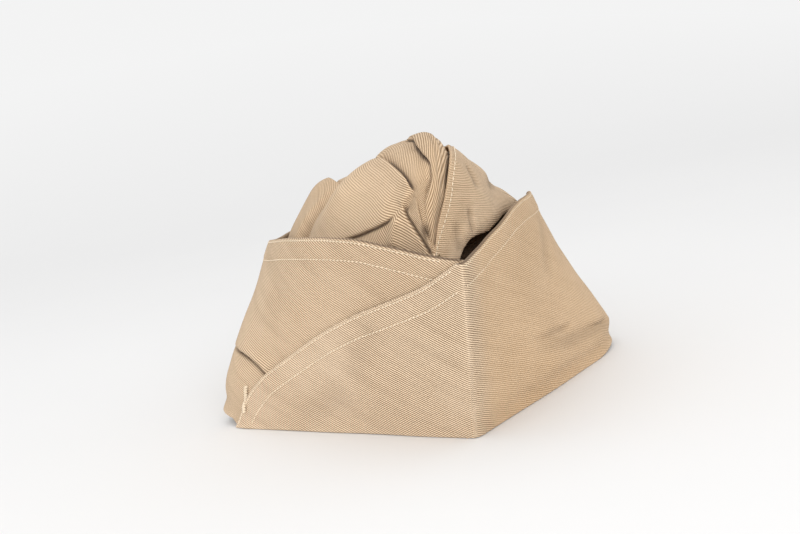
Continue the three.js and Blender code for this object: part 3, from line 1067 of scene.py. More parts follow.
@dataclass
class Relief:
    """Everything that moves one plain surface: creases, hems, ripples and swells."""

    surface: Surface
    outward: Row
    creases: tuple[Crease, ...] = ()
    hems: tuple[Hem, ...] = ()
    ripples: tuple[Ripple, ...] = ()
    swells: tuple[Swell, ...] = ()

    def points(self, a: Array, b: Array) -> Array:
        """Return the finished surface's points."""
        return self.worked(a, b)[0]

    def normals_at(self, a: Array, b: Array) -> Array:
        """Return the plain surface's unit normals."""
        return normals(self.surface, a, b, self.outward)

    def worked(self, a: Array, b: Array) -> tuple[Array, Array, Array]:
        """Work out the finished surface.

        Args:
            a: places in the surface's first parameter.
            b: places in its second parameter.

        Returns:
            The points, how deep in a crease each lies, and the plain surface's normals.
        """
        plain = self.surface(a, b)
        normal = self.normals_at(a, b)
        rise = np.zeros(plain.shape[:-1])
        shade = np.zeros(plain.shape[:-1])
        moved = np.zeros(plain.shape)
        for ripple in self.ripples:
            rise += ripple.rise(plain)
        for swell in self.swells:
            rise += swell.rise(self.surface, plain)
        hem_rise = [hem.rise(self.surface, plain, normal) for hem in self.hems]
        if hem_rise:
            rise += np.max(hem_rise, axis=0)
        for crease in self.creases:
            by, dark = crease.move(self.surface, plain, normal)
            moved += by
            shade = np.maximum(shade, dark)
        return plain + moved + normal * rise[..., None], shade, normal


@dataclass(frozen=True)
class StitchRow:
    """A row of lockstitches along a trail, in millimetres, with whole stitches end to end."""

    trail: Trail
    pitch: float = 2.2
    length: float = 1.8
    radius: float = 0.27
    rise: float = 0.2


@dataclass
class Stitching:
    """Rows of stitches on one surface, joined into one mesh.

    A stitch is a spindle along the cloth: at a share s of its length its radius is
    r·(1 − (2s−1)⁴)^½ and it stands off the cloth by the rise × that, as its ends dive into it.
    """

    name: str
    relief: Relief
    rows: tuple[StitchRow, ...]
    rings: int = 6
    sides: int = 6
    slant: float = 0.12
    flatness: float = 0.8
    least_radius: float = 0.12

    def places(self, row: StitchRow) -> tuple[Array, Array]:
        """Set whole stitches out at even steps along a row.

        Args:
            row: the row.

        Returns:
            The two parameters of the stitches' ring centres, shaped (stitches, rings).
        """
        a, b = Trail(row.trail.places, 400).points()
        line = self.relief.points(a, b)
        run = lengths_from(line, 0)
        count = max(1, int(run[-1] // row.pitch))
        starts = (np.arange(count) + 0.5) * run[-1] / count
        shares = np.linspace(-0.5, 0.5, self.rings) * row.length
        at = starts[:, None] + shares[None, :]
        return np.interp(at, run, a), np.interp(at, run, b)

    def rings_of(self, row: StitchRow) -> tuple[Array, Array]:
        """Work out the stitches' rings of points.

        Args:
            row: the row.

        Returns:
            The points and their places in the UV map, shaped (stitches, rings, sides, 3 or 2).
        """
        a, b = self.places(row)
        centre, _, normal = self.relief.worked(a, b)
        way = unit(centre[:, -1] - centre[:, 0])[:, None, :] * np.ones((1, self.rings, 1))
        across = unit(np.cross(normal, way))
        share = np.linspace(-1.0, 1.0, self.rings)
        full = np.sqrt(np.maximum(0.0, 1.0 - share**4))[None, :, None]
        centre = centre + normal * (row.rise * full) + across * (share[None, :, None] * self.slant)
        turn = np.linspace(0.0, 2 * np.pi, self.sides, endpoint=False)
        radius = row.radius * np.maximum(full, self.least_radius)
        ring = rings_around(centre, across, normal, radius, turn, self.flatness)
        u = np.broadcast_to((share * row.length / 2)[None, :, None], ring.shape[:3])
        v = np.broadcast_to((turn / (2 * np.pi) / MILLIMETRE)[None, None, :], ring.shape[:3])
        return ring, np.stack([u, v], -1)

    def build(self, finish: bpy.types.Material) -> bpy.types.Object:
        """Make the joined mesh of all the rows.

        Args:
            finish: the material.

        Returns:
            The new object.
        """
        rings, places = zip(*(self.rings_of(row) for row in self.rows))
        return add_tubes(self.name, np.concatenate(rings), np.concatenate(places), finish)


def even_rows(count: int, thickness: float, height: float) -> Array:
    """Return rising shares from half a thickness above the bottom to half of one below the top."""
    end = thickness / 2 / height
    return np.linspace(end, 1.0 - end, count)


@dataclass
class Band:
    """The turned-up band: the left curtain that laps over the front, and the right one under it.

    Lengths are in millimetres. A place's two parameters are about `along_length` and
    `wall_height` long from 0 to 1, and the stitches go by `stitched_height`.
    """

    thickness: float = 1.6
    gap: float = 0.3
    along_length: float = 140.0
    wall_height: float = 80.0
    stitched_height: float = 78.0
    front_crease: Row = (0.0, -117.0)
    edge_wear_reach: float = 0.9
    rim_wear_reach: float = 1.2
    lap_columns: int = 130
    wall_columns: int = 190
    right_columns: int = 250
    rows: int = 100
    under_past: float = 0.05
    under_rise: float = 0.35
    left_grain: float = -25.0
    right_grain: float = -27.0
    hem_rows: tuple[float, ...] = (1.3, 9.0)
    inner_shade: float = 0.5
    corner_rise: float = 4.2
    left_shade: float = 0.06
    lap_relief: Relief = field(init=False)
    left_relief: Relief = field(init=False)
    right_relief: Relief = field(init=False)

    def __post_init__(self) -> None:
        """Set up the relief of each wall."""
        top = Trail(tuple((float(a), 1.0) for a in np.linspace(1.0, -1.0, 25)), 60)
        lap = Trail(tuple((float(LAP_EDGE.at(np.array(u))), float(u)) for u in np.linspace(0, 1, 25)), 60)
        left_creases = (
            Crease(
                Trail((
                    (0.02, 0.1), (0.16, 0.15), (0.305, 0.183), (0.494, 0.213), (0.66, 0.28), (0.83, 0.35),
                )),
                groove=0.8, groove_width=4.0, left=0.5, left_reach=9.0, fade_in=0.2, fade_out=0.5,
            ),
            Crease(
                Trail(((0.1, 0.17), (0.195, 0.18), (0.29, 0.207), (0.4, 0.235))),
                left=-0.4, right=0.6, left_reach=4.0, right_reach=5.0, sharp=0.4,
                groove=0.5, groove_width=0.7, slide=0.3, dark=0.35, fade_in=0.35, fade_out=0.5,
            ),
            Crease(
                Trail(((0.44, 0.285), (0.51, 0.297), (0.575, 0.307))),
                left=-0.2, right=0.3, left_reach=3.5, right_reach=4.0, sharp=0.4,
                groove=0.3, groove_width=0.7, slide=0.1, dark=0.4, fade_in=0.4, fade_out=0.4,
            ),
            Crease(
                Trail(((0.42, 0.3), (0.5, 0.287), (0.56, 0.302), (0.66, 0.322), (0.78, 0.352))),
                groove=0.8, groove_width=1.9, left=0.4, left_reach=6.0, fade_in=0.3, fade_out=0.6,
            ),
            Crease(
                Trail(((0.3, 0.95), (0.42, 0.7), (0.5, 0.45))),
                groove=0.5, groove_width=7.0, fade_in=0.3, fade_out=0.4,
            ),
        )
        left_ripples = (
            Ripple((0.4, 1.0, 0.5), 46.0, 0.28, 0.4),
            Ripple((1.0, -0.2, 0.9), 31.0, 0.16, 1.9),
            Ripple((0.2, 0.6, -1.0), 19.0, 0.07, 0.7),
        )
        self.left_relief = Relief(
            LEFT_WALL.face, (1, 0, 0), left_creases,
            (Hem(top, rows=self.hem_rows),), left_ripples,
        )
        lap_creases = (
            Crease(
                Trail(((0.62, 0.25), (0.66, 0.45), (0.74, 0.62))),
                groove=0.35, groove_width=6.0, fade_in=0.3, fade_out=0.3,
            ),
            Crease(
                Trail(((0.35, 0.06), (0.5, 0.14), (0.62, 0.26))),
                groove=0.3, groove_width=7.0, fade_in=0.3, fade_out=0.3,
            ),
        )
        self.lap_relief = Relief(
            RIGHT_WALL.face, (-1, 0, 0), lap_creases,
            (Hem(lap, rows=self.hem_rows), Hem(top, rows=())), left_ripples,
        )
        right_creases = (
            Crease(
                Trail((
                    (-0.06, 0.41), (0.0, 0.424), (0.042, 0.424), (0.089, 0.418), (0.146, 0.398),
                    (0.2, 0.364), (0.24, 0.33), (0.275, 0.295),
                )),
                left=0.6, left_reach=7.0, right=-1.3, right_reach=6.0, sharp=0.4,
                groove=1.8, groove_width=0.75, slide=0.9, dark=1.1, fade_in=0.4, fade_out=0.02,
            ),
            Crease(
                Trail(((-0.14, 0.3), (-0.06, 0.22), (0.02, 0.12))),
                groove=-1.0, groove_width=6.0, fade_in=0.3, fade_out=0.3,
            ),
            Crease(
                Trail(((0.3, 0.86), (0.26, 0.66), (0.2, 0.5))),
                groove=0.25, groove_width=12.0, fade_in=0.3, fade_out=0.3,
            ),
        )
        right_ripples = (
            Ripple((0.5, 1.0, 0.3), 52.0, 0.3, 1.2),
            Ripple((1.0, 0.4, 1.0), 33.0, 0.18, 0.1),
            Ripple((0.3, -0.6, 1.0), 21.0, 0.08, 2.2),
        )
        self.right_relief = Relief(
            self.under_face, (-1, 0, 0), right_creases,
            (Hem(top, rows=self.hem_rows, height=0.35),), right_ripples,
        )

    def under_depth(self, along: Array, up: Array) -> Array:
        """Return how deep the right curtain lies: a cloth under the lap, easing to 0 behind it."""
        past = along - LAP_EDGE.at(up) + self.under_past + self.under_rise
        return (self.thickness + self.gap) * smooth(past / self.under_rise)

    def under_face(self, along: Array, up: Array) -> Array:
        """Work out the right curtain's outer face, square under the wall's face by its depth.

        Args:
            along: places along the wall.
            up: places up the wall.

        Returns:
            The points.
        """
        along, up = np.broadcast_arrays(along, up)
        depth = self.under_depth(along, up)[..., None]
        return RIGHT_WALL.face(along, up) - RIGHT_WALL.normal(along, up) * depth

    def by_front(self, points: Array, reach: float) -> Array:
        """Return 1 at the front crease, falling off over a reach in plan."""
        return bell(np.linalg.norm(points[..., :2] - self.front_crease, axis=-1), reach)

    def edge_shade(self, outer: Array) -> Array:
        """Return the shade in the crack behind the top edge, deepest by the front crease."""
        return 0.3 + 0.6 * self.by_front(outer[-1], 75.0)

    def rib_strength(self, points: Array) -> Array:
        """Return the twill's strength, and so its painted shade, falling off away from the front crease."""
        return 0.33 + 0.5 * self.by_front(points, 82.0)

    def edge_wear(self, up: Array, top: float, rim: float) -> Array:
        """Return the wear, so much along the top edge and so much along the rim."""
        by_top = bell((1.0 - up) * self.wall_height, self.edge_wear_reach)
        return top * by_top + rim * bell(up * self.wall_height, self.rim_wear_reach)

    def left_cloth(self) -> Cloth:
        """Build the left curtain: the lap's columns, then those of the left wall.

        A column of the lap stands at the same share between the lap's edge and the front crease
        at every height, and those of the wall crowd toward its middle, where its plan turns. The
        cloth carries wear along its edges, and wear with a painted highlight along the front crease.
        A warm tint covers the wall away from the creases, most of all low at its front.

        Returns:
            The cloth.
        """
        rise = even_rows(self.rows, self.thickness, self.wall_height)[:, None]
        edge = LAP_EDGE.at(rise) + self.thickness / 2 / self.along_length
        share = np.linspace(0.0, 1.0, self.lap_columns)[None, :-1]
        lap_along = mix(edge, 1.0, share)
        even = 1.0 - 2.0 * np.linspace(0.0, 1.0, self.wall_columns)[None, :]
        wall_along = even * (1.5 + 0.5 * np.abs(even)) / 2
        wall_along = np.broadcast_to(wall_along, (self.rows, self.wall_columns))
        rise_lap = np.broadcast_to(rise, lap_along.shape)
        rise_wall = np.broadcast_to(rise, wall_along.shape)
        lap, lap_shade, _ = self.lap_relief.worked(lap_along, rise_lap)
        wall, wall_shade, _ = self.left_relief.worked(wall_along, rise_wall)
        outer = np.concatenate([lap, wall], axis=1)
        paint = Paint.plain(outer.shape[:2])
        paint.shade = np.concatenate([lap_shade * 0.8, np.maximum(wall_shade, self.left_shade)], axis=1)
        x = outer[..., 0]
        front = outer[..., 1] < 0
        along = np.concatenate([lap_along, wall_along], axis=1)
        up = np.concatenate([rise_lap, rise_wall], axis=1)
        # Wear and a painted highlight along the front crease; wear along the lap's edge, the top edge and
        # the rim.
        paint.wear_and_light = 0.28 * bell(x + 0.3, 0.6) * front
        from_edge = (lap_along - edge) * self.along_length
        paint.wear_and_light[:, : lap.shape[1]] += 0.35 * bell(from_edge, self.edge_wear_reach)
        paint.wear_and_light = np.clip(paint.wear_and_light + self.edge_wear(up, 0.4, 0.25), 0.0, 1.0)
        paint.relief = self.rib_strength(outer)
        low = smooth((0.4 - up) / 0.4) * (x > 0) * smooth(x / 14.0)
        tan = 0.78 * smooth(x / 12.0) * smooth((along + 0.9) / 0.8)
        paint.warm = np.maximum(0.88 * low * smooth((along + 0.05) / 0.35) * front, tan)
        grain = np.full((self.rows - 1, outer.shape[1] - 1), self.left_grain)
        plain = [RIGHT_WALL.face(lap_along, rise_lap), LEFT_WALL.face(wall_along, rise_wall)]
        around = lengths_from(np.concatenate(plain, axis=1), 1, lap.shape[1])
        tall = [RIGHT_WALL.height(lap_along), LEFT_WALL.height(wall_along)]
        flat = np.stack([around, up * np.concatenate(tall, axis=1)], -1)
        return Cloth(
            "cloth_curtain_left", outer, (0, -1, 0), self.thickness, grain, paint, flat,
            self.inner_shade, self.edge_shade(outer),
        )

    def right_cloth(self) -> Cloth:
        """Build the right curtain, from under the front crease to the back one.

        Its lower edge curls up by `corner_rise` beside the lap's lower corner.

        Returns:
            The cloth.
        """
        rise = even_rows(self.rows, self.thickness, self.wall_height)[:, None]
        even = 1.0 - 2.0 * np.linspace(0.004, 1.0, self.right_columns)[None, :]
        along = np.broadcast_to(even * (1.6 + 0.4 * np.abs(even)) / 2, (self.rows, self.right_columns))
        up = np.broadcast_to(rise, along.shape)
        outer, shade, _ = self.right_relief.worked(along, up)
        curl = smooth((0.125 - along) / 0.035) * smooth((along + 0.28) / 0.25)
        outer[..., 2] += self.corner_rise * curl * smooth(1.0 - up / 0.16)
        paint = Paint.plain(outer.shape[:2])
        paint.shade = np.maximum(shade, 0.05)
        paint.relief = self.rib_strength(outer)
        paint.warm[:] = 0.2
        paint.wear_and_light = self.edge_wear(up, 0.35, 0.2)
        grain = np.full((self.rows - 1, along.shape[1] - 1), 180.0 - self.right_grain)
        around = lengths_from(RIGHT_WALL.face(along, up), 1)
        flat = np.stack([around, up * RIGHT_WALL.height(along)], -1)
        return Cloth(
            "cloth_curtain_right", outer, (-1, 0, 0), self.thickness, grain, paint, flat,
            self.inner_shade, self.edge_shade(outer),
        )

    def stitch_rows(self) -> list[Stitching]:
        """Lay the stitches of the lap and of both walls' hems.

        A row of the lap's lies in from its edge by an inset, square to it, and a row of a hem's
        lies below the top edge by it.

        Returns:
            The stitching of the lap, of the left wall and of the right one.
        """
        near, far = self.hem_rows
        up = np.linspace(0.03, 0.97, 32)
        edge = LAP_EDGE.at(up)
        slope = np.gradient(edge, up)
        long, tall = self.along_length, self.stitched_height
        along_mm = slope * long
        tilt = np.sqrt(along_mm**2 + tall**2)
        rows = []
        for inset in (near, far):
            a = edge + inset * tall / tilt / long
            b = up - inset * along_mm / tilt / tall
            keep = (a < 0.998) & (b > 0.012)
            rows.append(StitchRow(Trail(tuple(zip(a[keep].tolist(), b[keep].tolist())), 96)))
        lap = Stitching("stitches_lap", self.lap_relief, tuple(rows))
        walls = []
        for name, relief, wall, start, radius, rise in (
            ("stitches_left_hem", self.left_relief, LEFT_WALL, 0.995, 0.17, 0.02),
            ("stitches_right_hem", self.right_relief, RIGHT_WALL, 0.93, 0.25, 0.12),
        ):
            hem = []
            for inset in (near, far):
                along = np.linspace(start, -0.98, 40)
                high = mix(wall.crease_height, wall.side_height, wall.top_rise.at(along))
                place = tuple(zip(along.tolist(), (1.0 - inset / high).tolist()))
                hem.append(StitchRow(Trail(place, 120), radius=radius, rise=rise))
            walls.append(Stitching(name, relief, tuple(hem)))
        return [lap, *walls]


@dataclass(frozen=True)
class Ridge:
    """The line where a side panel meets the insert, from the front seam (0) to the back seam (1)."""

    rows: tuple[Row, ...]
    half_width: float = 16.0
    half_length: float = 92.0
    height: float = 112.0

    def at(self, u: Array) -> Array:
        """Read the line.

        Args:
            u: places along it.

        Returns:
            The points.
        """
        x = self.half_width * column(self.rows, 3).at(u)
        y = self.half_length * column(self.rows, 1).at(u)
        return np.stack([x, y, self.height * column(self.rows, 2).at(u)], -1)

    def full(self, u: Array) -> Array:
        """Return how much fuller the panel stands there."""
        return column(self.rows, 4).at(u)


LEFT_RIDGE = Ridge((
    (0.0, -1.0, 0.625, -0.17, 0.0), (0.05, -0.965, 0.74, 0.12, 0.0), (0.1, -0.925, 0.85, 0.5, 0.0),
    (0.16, -0.84, 0.965, 0.84, 0.0), (0.23, -0.67, 0.99, 1.02, 0.0), (0.33, -0.42, 0.975, 1.15, 0.0),
    (0.5, 0.0, 0.925, 1.1, 0.02), (0.7, 0.46, 0.855, 0.4, 0.0), (0.86, 0.82, 0.78, 0.2, 0.0),
    (0.95, 0.97, 0.69, 0.06, 0.0), (1.0, 1.0, 0.6, 0.0, 0.0),
))
RIGHT_RIDGE = Ridge((
    (0.0, -1.0, 0.625, -0.17, 0.0), (0.05, -0.965, 0.74, -0.27, 0.0), (0.1, -0.94, 0.84, -0.31, 0.0),
    (0.16, -0.87, 0.9, -0.35, 0.0), (0.23, -0.68, 0.945, -0.42, 0.0), (0.33, -0.44, 0.972, -0.48, 0.0),
    (0.5, 0.0, 0.89, -0.8, 0.0), (0.58, 0.18, 0.86, -1.1, 0.05), (0.68, 0.42, 0.87, -1.4, 0.13),
    (0.8, 0.7, 0.8, -1.0, 0.04), (0.9, 0.89, 0.735, -0.5, 0.0), (1.0, 1.0, 0.6, 0.0, 0.0),
))


@dataclass
class CrownPanel:
    """A side panel of the crown, in millimetres.

    A place is given by u, 0 at the front seam and 1 at the back one, and rise, 0 at the rim and 1
    at the ridge line. Its section says how far out from the ridge toward the rim it stands.
    """

    side: Side
    wall: Wall
    ridge: Ridge
    section: Curve
    creases: tuple[Crease, ...]
    ripples: tuple[Ripple, ...]
    swells: tuple[Swell, ...]
    grain: float
    thickness: float = 1.2
    depth: float = 4.4
    panel_height: float = 95.0
    seam_gap: float = 0.3
    full_level: float = 12.0
    flat_level: float = 0.7
    columns: int = 268
    rows: int = 170
    crowd: float = 1.65
    relief: Relief = field(init=False)

    def __post_init__(self) -> None:
        """Set up the panel's relief."""
        outward = (self.side.value, 0, 1)
        self.relief = Relief(self.face, outward, self.creases, (), self.ripples, self.swells)

    def foot(self, u: Array) -> Array:
        """Work out the panel's rim, inside the band by the depth across the wall.

        Args:
            u: places from the front seam to the back one.

        Returns:
            The points.
        """
        even = 1.0 - 2.0 * u
        along = even * (1.0 + np.abs(even)) / 2
        low = np.zeros_like(along)
        normal = normals(self.wall.sharp_face, along, low, (self.side.value, 0, 0))
        way = normal * np.stack([np.abs(along) < 0.9999, np.ones_like(along), low], -1)
        inward = self.depth / np.maximum(0.2, dot(way, normal))
        return self.wall.sharp_face(along, low) - way * inward[..., None]

    def face(self, u: Array, rise: Array) -> Array:
        """Work out the plain outer face.

        In plan a point goes from the ridge line toward the rim by the section's share at its
        rise, and a full panel by full·rise⁴·(1 − rise) more. Its height is in step with rise.

        Args:
            u: places from the front seam to the back one.
            rise: places from the rim to the ridge line.

        Returns:
            The points.
        """
        u, rise = np.broadcast_arrays(np.clip(u, 0, 1), np.clip(rise, 0, 1))
        foot, top = self.foot(u), self.ridge.at(u)
        full = self.ridge.full(u) * self.full_level * rise**4 * (1 - rise)
        reach = (self.section.at(rise) + full)[..., None]
        flat = mix(top[..., :2], foot[..., :2], reach)
        height = mix(foot[..., 2], top[..., 2], rise)
        points = np.concatenate([flat, height[..., None]], -1)
        points[..., 0] += self.side.value * self.seam_gap / 2
        return points

    def grid(self) -> tuple[Array, Array]:
        """Set out the grid, closer together toward the front and the ridge.

        Returns:
            Its two parameters, u and rise.
        """
        share = np.linspace(0.002, 0.998, self.columns) ** self.crowd
        rise = 1.0 - np.linspace(0.0, 1.0, self.rows) ** 1.25
        end = self.thickness / 2 / self.panel_height
        rise = np.clip(rise[::-1], 0.0, 1.0) * (1.0 - 2 * end) + end
        return np.meshgrid(share, rise)

    def cloth(self) -> Cloth:
        """Build the panel's cloth, whose places on the flat cloth are lengths along the plain face.

        Returns:
            The cloth.
        """
        u, rise = self.grid()
        outer, shade, _ = self.relief.worked(u, rise)
        paint = Paint.plain(outer.shape[:2])
        paint.shade = shade
        grain = np.full((outer.shape[0] - 1, outer.shape[1] - 1), self.grain)
        self.dress(u, rise, outer, paint, grain)
        name = f"cloth_crown_{self.side.name.lower()}"
        level = self.face(u[0], np.full_like(u[0], self.flat_level))
        around = np.broadcast_to(lengths_from(level[:, :2], 0), u.shape)
        flat = np.stack([around, lengths_from(self.face(u, rise), 0)], -1)
        return Cloth(name, outer, (self.side.value, 0, 1), self.thickness, grain, paint, flat)

    def dress(self, u: Array, rise: Array, outer: Array, paint: Paint, grain: Array) -> None:
        """Adjust the panel in place. The plain panel needs nothing.

        Args:
            u: the grid's places from the front seam to the back one.
            rise: its places from the rim to the ridge line.
            outer: its points.
            paint: its paint.
            grain: the twill's angle in each of its faces.
        """


SECTION_ROWS = ((0.0, 1.0), (0.25, 0.82), (0.5, 0.64))


@dataclass
class RightPanel(CrownPanel):
    """The right panel, with the big front lobe over a tucked fold and the pleat by the seam."""

    side: Side = Side.RIGHT
    wall: Wall = RIGHT_WALL
    ridge: Ridge = RIGHT_RIDGE
    section: Curve = Curve(
        (*SECTION_ROWS, (0.67, 0.47), (0.75, 0.39), (0.82, 0.33), (0.9, 0.235), (0.96, 0.11), (1.0, 0.0))
    )
    creases: tuple[Crease, ...] = (
        Crease(
            Trail((
                (0.32, 0.67), (0.251, 0.743), (0.217, 0.771), (0.192, 0.8), (0.168, 0.832),
                (0.144, 0.872), (0.125, 0.912),
            )),
            left=1.1, left_reach=9.0, right=-0.6, right_reach=3.4, sharp=0.35,
            groove=0.85, groove_width=0.45, slide=0.8, dark=0.4, fade_in=0.1, fade_out=0.15,
        ),
        Crease(
            Trail(((0.123, 0.905), (0.119, 0.871), (0.119, 0.831), (0.118, 0.77))),
            groove=-1.3, groove_width=3.4, fade_in=0.25, fade_out=0.2,
        ),
        Crease(
            Trail((
                (0.12, 0.945), (0.093, 0.93), (0.068, 0.934), (0.046, 0.943), (0.031, 0.943), (0.02, 0.935),
            )),
            left=-0.8, left_reach=2.0, right=0.6, right_reach=5.0, sharp=0.35,
            groove=0.85, groove_width=0.4, slide=0.6, dark=0.4, fade_in=0.08, fade_out=0.12,
        ),
        Crease(
            Trail(((0.128, 0.995), (0.117, 0.976), (0.118, 0.934))),
            left=-1.4, left_reach=4.0, right=0.9, right_reach=5.0, sharp=1.3, fade_in=0.3, fade_out=0.2,
        ),
        Crease(
            Trail(((0.46, 0.72), (0.4, 0.8), (0.33, 0.87), (0.27, 0.92))),
            groove=-0.9, groove_width=7.0, fade_in=0.3, fade_out=0.3,
        ),
        Crease(
            Trail(((0.53, 0.6), (0.545, 0.75), (0.56, 0.88), (0.585, 0.99))),
            left=1.6, left_reach=12.0, right=-1.0, right_reach=7.0, sharp=1.2,
            groove=3.4, groove_width=3.2, fade_in=0.3, fade_out=0.1,
        ),
    )
    ripples: tuple[Ripple, ...] = (
        Ripple((0.3, 1.0, 0.6), 34.0, 0.3, 0.5),
        Ripple((1.0, 0.5, -0.4), 23.0, 0.16, 1.5),
    )
    swells: tuple[Swell, ...] = (
        Swell((0.36, 0.86), 1.2, 14.0), Swell((0.4, 0.97), 3.0, 15.0), Swell((0.66, 0.98), 4.6, 11.0),
    )
    grain: float = 27.0
    pleat_back: float = 0.119
    pleat_grain: float = -37.0
    tuck_grain: float = 47.0
    flap_grain: float = 35.0

    def dress(self, u: Array, rise: Array, outer: Array, paint: Paint, grain: Array) -> None:
        """Turn the grain in the pleat, the tuck and the flap, and strengthen the pleat's twill.

        The pleat lies above the line through its lower edge, the tuck behind the flap's ridge and
        below the lobe's edge, and the flap before that ridge. The edge along the ridge line stands
        proud behind the pleat, and a pocket of shade lies by the front of the seam.

        Args:
            u: the grid's places from the front seam to the back one.
            rise: its places from the rim to the ridge line.
            outer: its points.
            paint: its paint.
            grain: the twill's angle in each of its faces.
        """
        line = column(tuple(self.creases[2].trail.places[::-1]), 1)
        lobe = Curve((
            (0.0, 1.0), (0.118, 0.93), (0.144, 0.872), (0.192, 0.8), (0.251, 0.743), (0.4, 0.6),
        ))
        face_u = (u[:-1, :-1] + u[1:, 1:]) / 2
        face_rise = (rise[:-1, :-1] + rise[1:, 1:]) / 2
        pleat = (face_u < self.pleat_back) & (face_rise > line.at(face_u))
        flap = (face_u < self.pleat_back) & ~pleat
        tuck = (face_u >= self.pleat_back) & (face_rise < lobe.at(face_u)) & (face_u < 0.4)
        grain[pleat] = self.pleat_grain
        grain[flap] = self.flap_grain
        grain[tuck] = self.tuck_grain
        in_pleat = (u < self.pleat_back) & (rise > line.at(u))
        paint.relief = np.where(in_pleat, 0.9, 0.2 + 0.18 * smooth((0.21 - u) / 0.09))
        paint.relief = np.where((u < self.pleat_back) & ~in_pleat, 0.52, paint.relief)
        paint.warm[:] = 0.32
        from_ridge = (1.0 - rise) * self.panel_height
        pocket = 0.85 * bell(from_ridge, 3.5) * bell(u - 0.042, 0.012)
        behind = 0.07 + 0.13 * smooth((u - 0.35) / 0.22)
        paint.shade = np.maximum(np.maximum(paint.shade, pocket), behind)
        edge = bell(from_ridge, 2.4) * smooth((u - 0.12) / 0.02)
        outer += self.relief.normals_at(u, rise) * (0.9 * edge * smooth((0.42 - u) / 0.1))[..., None]


@dataclass
class LeftPanel(CrownPanel):
    """The left panel, whose stitched edge runs down to the front over the insert.

    Above the band its cloth bulges out over a tucked part, which leaves the dark opening between
    it and the band.
    """

    side: Side = Side.LEFT
    wall: Wall = LEFT_WALL
    ridge: Ridge = LEFT_RIDGE
    section: Curve = Curve(
        (*SECTION_ROWS, (0.67, 0.5), (0.75, 0.42), (0.82, 0.33), (0.9, 0.21), (0.96, 0.1), (1.0, 0.0))
    )
    creases: tuple[Crease, ...] = (
        Crease(
            Trail(((0.085, 0.9), (0.07, 0.849), (0.059, 0.795))),
            groove=0.8, groove_width=2.2, fade_in=0.3, fade_out=0.3,
        ),
        Crease(
            Trail(((0.125, 0.85), (0.117, 0.826), (0.108, 0.807), (0.1, 0.775))),
            groove=1.0, groove_width=1.5, left=0.4, left_reach=4.0, fade_in=0.3, fade_out=0.3,
        ),
        Crease(
            Trail(((0.2, 0.93), (0.188, 0.902), (0.179, 0.867), (0.166, 0.83))),
            groove=1.0, groove_width=2.6, fade_in=0.3, fade_out=0.3,
        ),
        Crease(
            Trail(((0.22, 0.79), (0.262, 0.812), (0.33, 0.82), (0.42, 0.8))),
            groove=1.6, groove_width=3.2, left=0.8, left_reach=6.0, fade_in=0.35, fade_out=0.3,
        ),
    )
    ripples: tuple[Ripple, ...] = (
        Ripple((1.0, 0.6, -0.2), 27.0, 0.25, 0.9),
        Ripple((0.2, 1.0, 0.7), 19.0, 0.12, 2.1),
    )
    swells: tuple[Swell, ...] = (Swell((0.31, 0.88), 1.6, 8.0), Swell((0.38, 0.73), 2.2, 10.0))
    grain: float = -11.0
    opening: Trail = Trail((
        (0.045, 0.782), (0.054, 0.79), (0.065, 0.795), (0.075, 0.797), (0.087, 0.791), (0.1, 0.774),
        (0.112, 0.753), (0.125, 0.728), (0.14, 0.705), (0.174, 0.697), (0.226, 0.697), (0.3, 0.69),
        (0.384, 0.672), (0.5, 0.65), (0.7, 0.62),
    ), 60)
    tuck_depth: float = 12.0
    tuck_reach: float = 1.8

    def dress(self, u: Array, rise: Array, outer: Array, paint: Paint, grain: Array) -> None:
        """Tuck the cloth in under the opening's line.

        Below the line it goes inward by depth·smooth(distance/reach), no more than 0.7 of the way
        to the middle of the cap, and comes back to its place toward the rim. Above the line it
        bulges in a lip. Painted shade darkens the cloth below the line, and painted light brightens
        a small upright fold near the front seam and the low front part above the band.

        Args:
            u: the grid's places from the front seam to the back one.
            rise: its places from the rim to the ridge line.
            outer: its points.
            paint: its paint.
            grain: the twill's angle in each of its faces; not used here.
        """
        plain = self.face(u, rise)
        normal = self.relief.normals_at(u, rise)
        near = self.opening.near(self.face, plain, normal)
        below = smooth(-near.left / self.tuck_reach)
        back = smooth(rise / 0.35) * smooth((1.0 - near.share) / 0.2) * smooth((u - 0.03) / 0.03)
        most = np.minimum(self.tuck_depth, 0.7 * np.maximum(plain[..., 0] - 1.0, 0.0))
        lip = 1.3 * bell(near.left - 2.5, 4.0) * smooth((u - 0.03) / 0.04)
        outer += normal * (lip - below * back * most)[..., None]
        paint.shade = np.maximum(paint.shade, smooth(-near.left / 1.2) * back)
        paint.relief[:] = 0.72
        paint.warm[:] = 0.42
        # Painted light: a highlight along the small upright fold near the front seam, and a lighter low
        # front part, over a little wear everywhere.
        fold = bell(u - 0.052, 0.02) * smooth((rise - 0.74) / 0.04) * smooth((0.9 - rise) / 0.08)
        low = smooth((0.9 - rise) / 0.12) * smooth((rise - 0.7) / 0.04) * smooth((0.3 - u) / 0.15)
        paint.wear_and_light = np.clip(0.1 + 0.5 * fold + 0.5 * low, 0.0, 1.0)


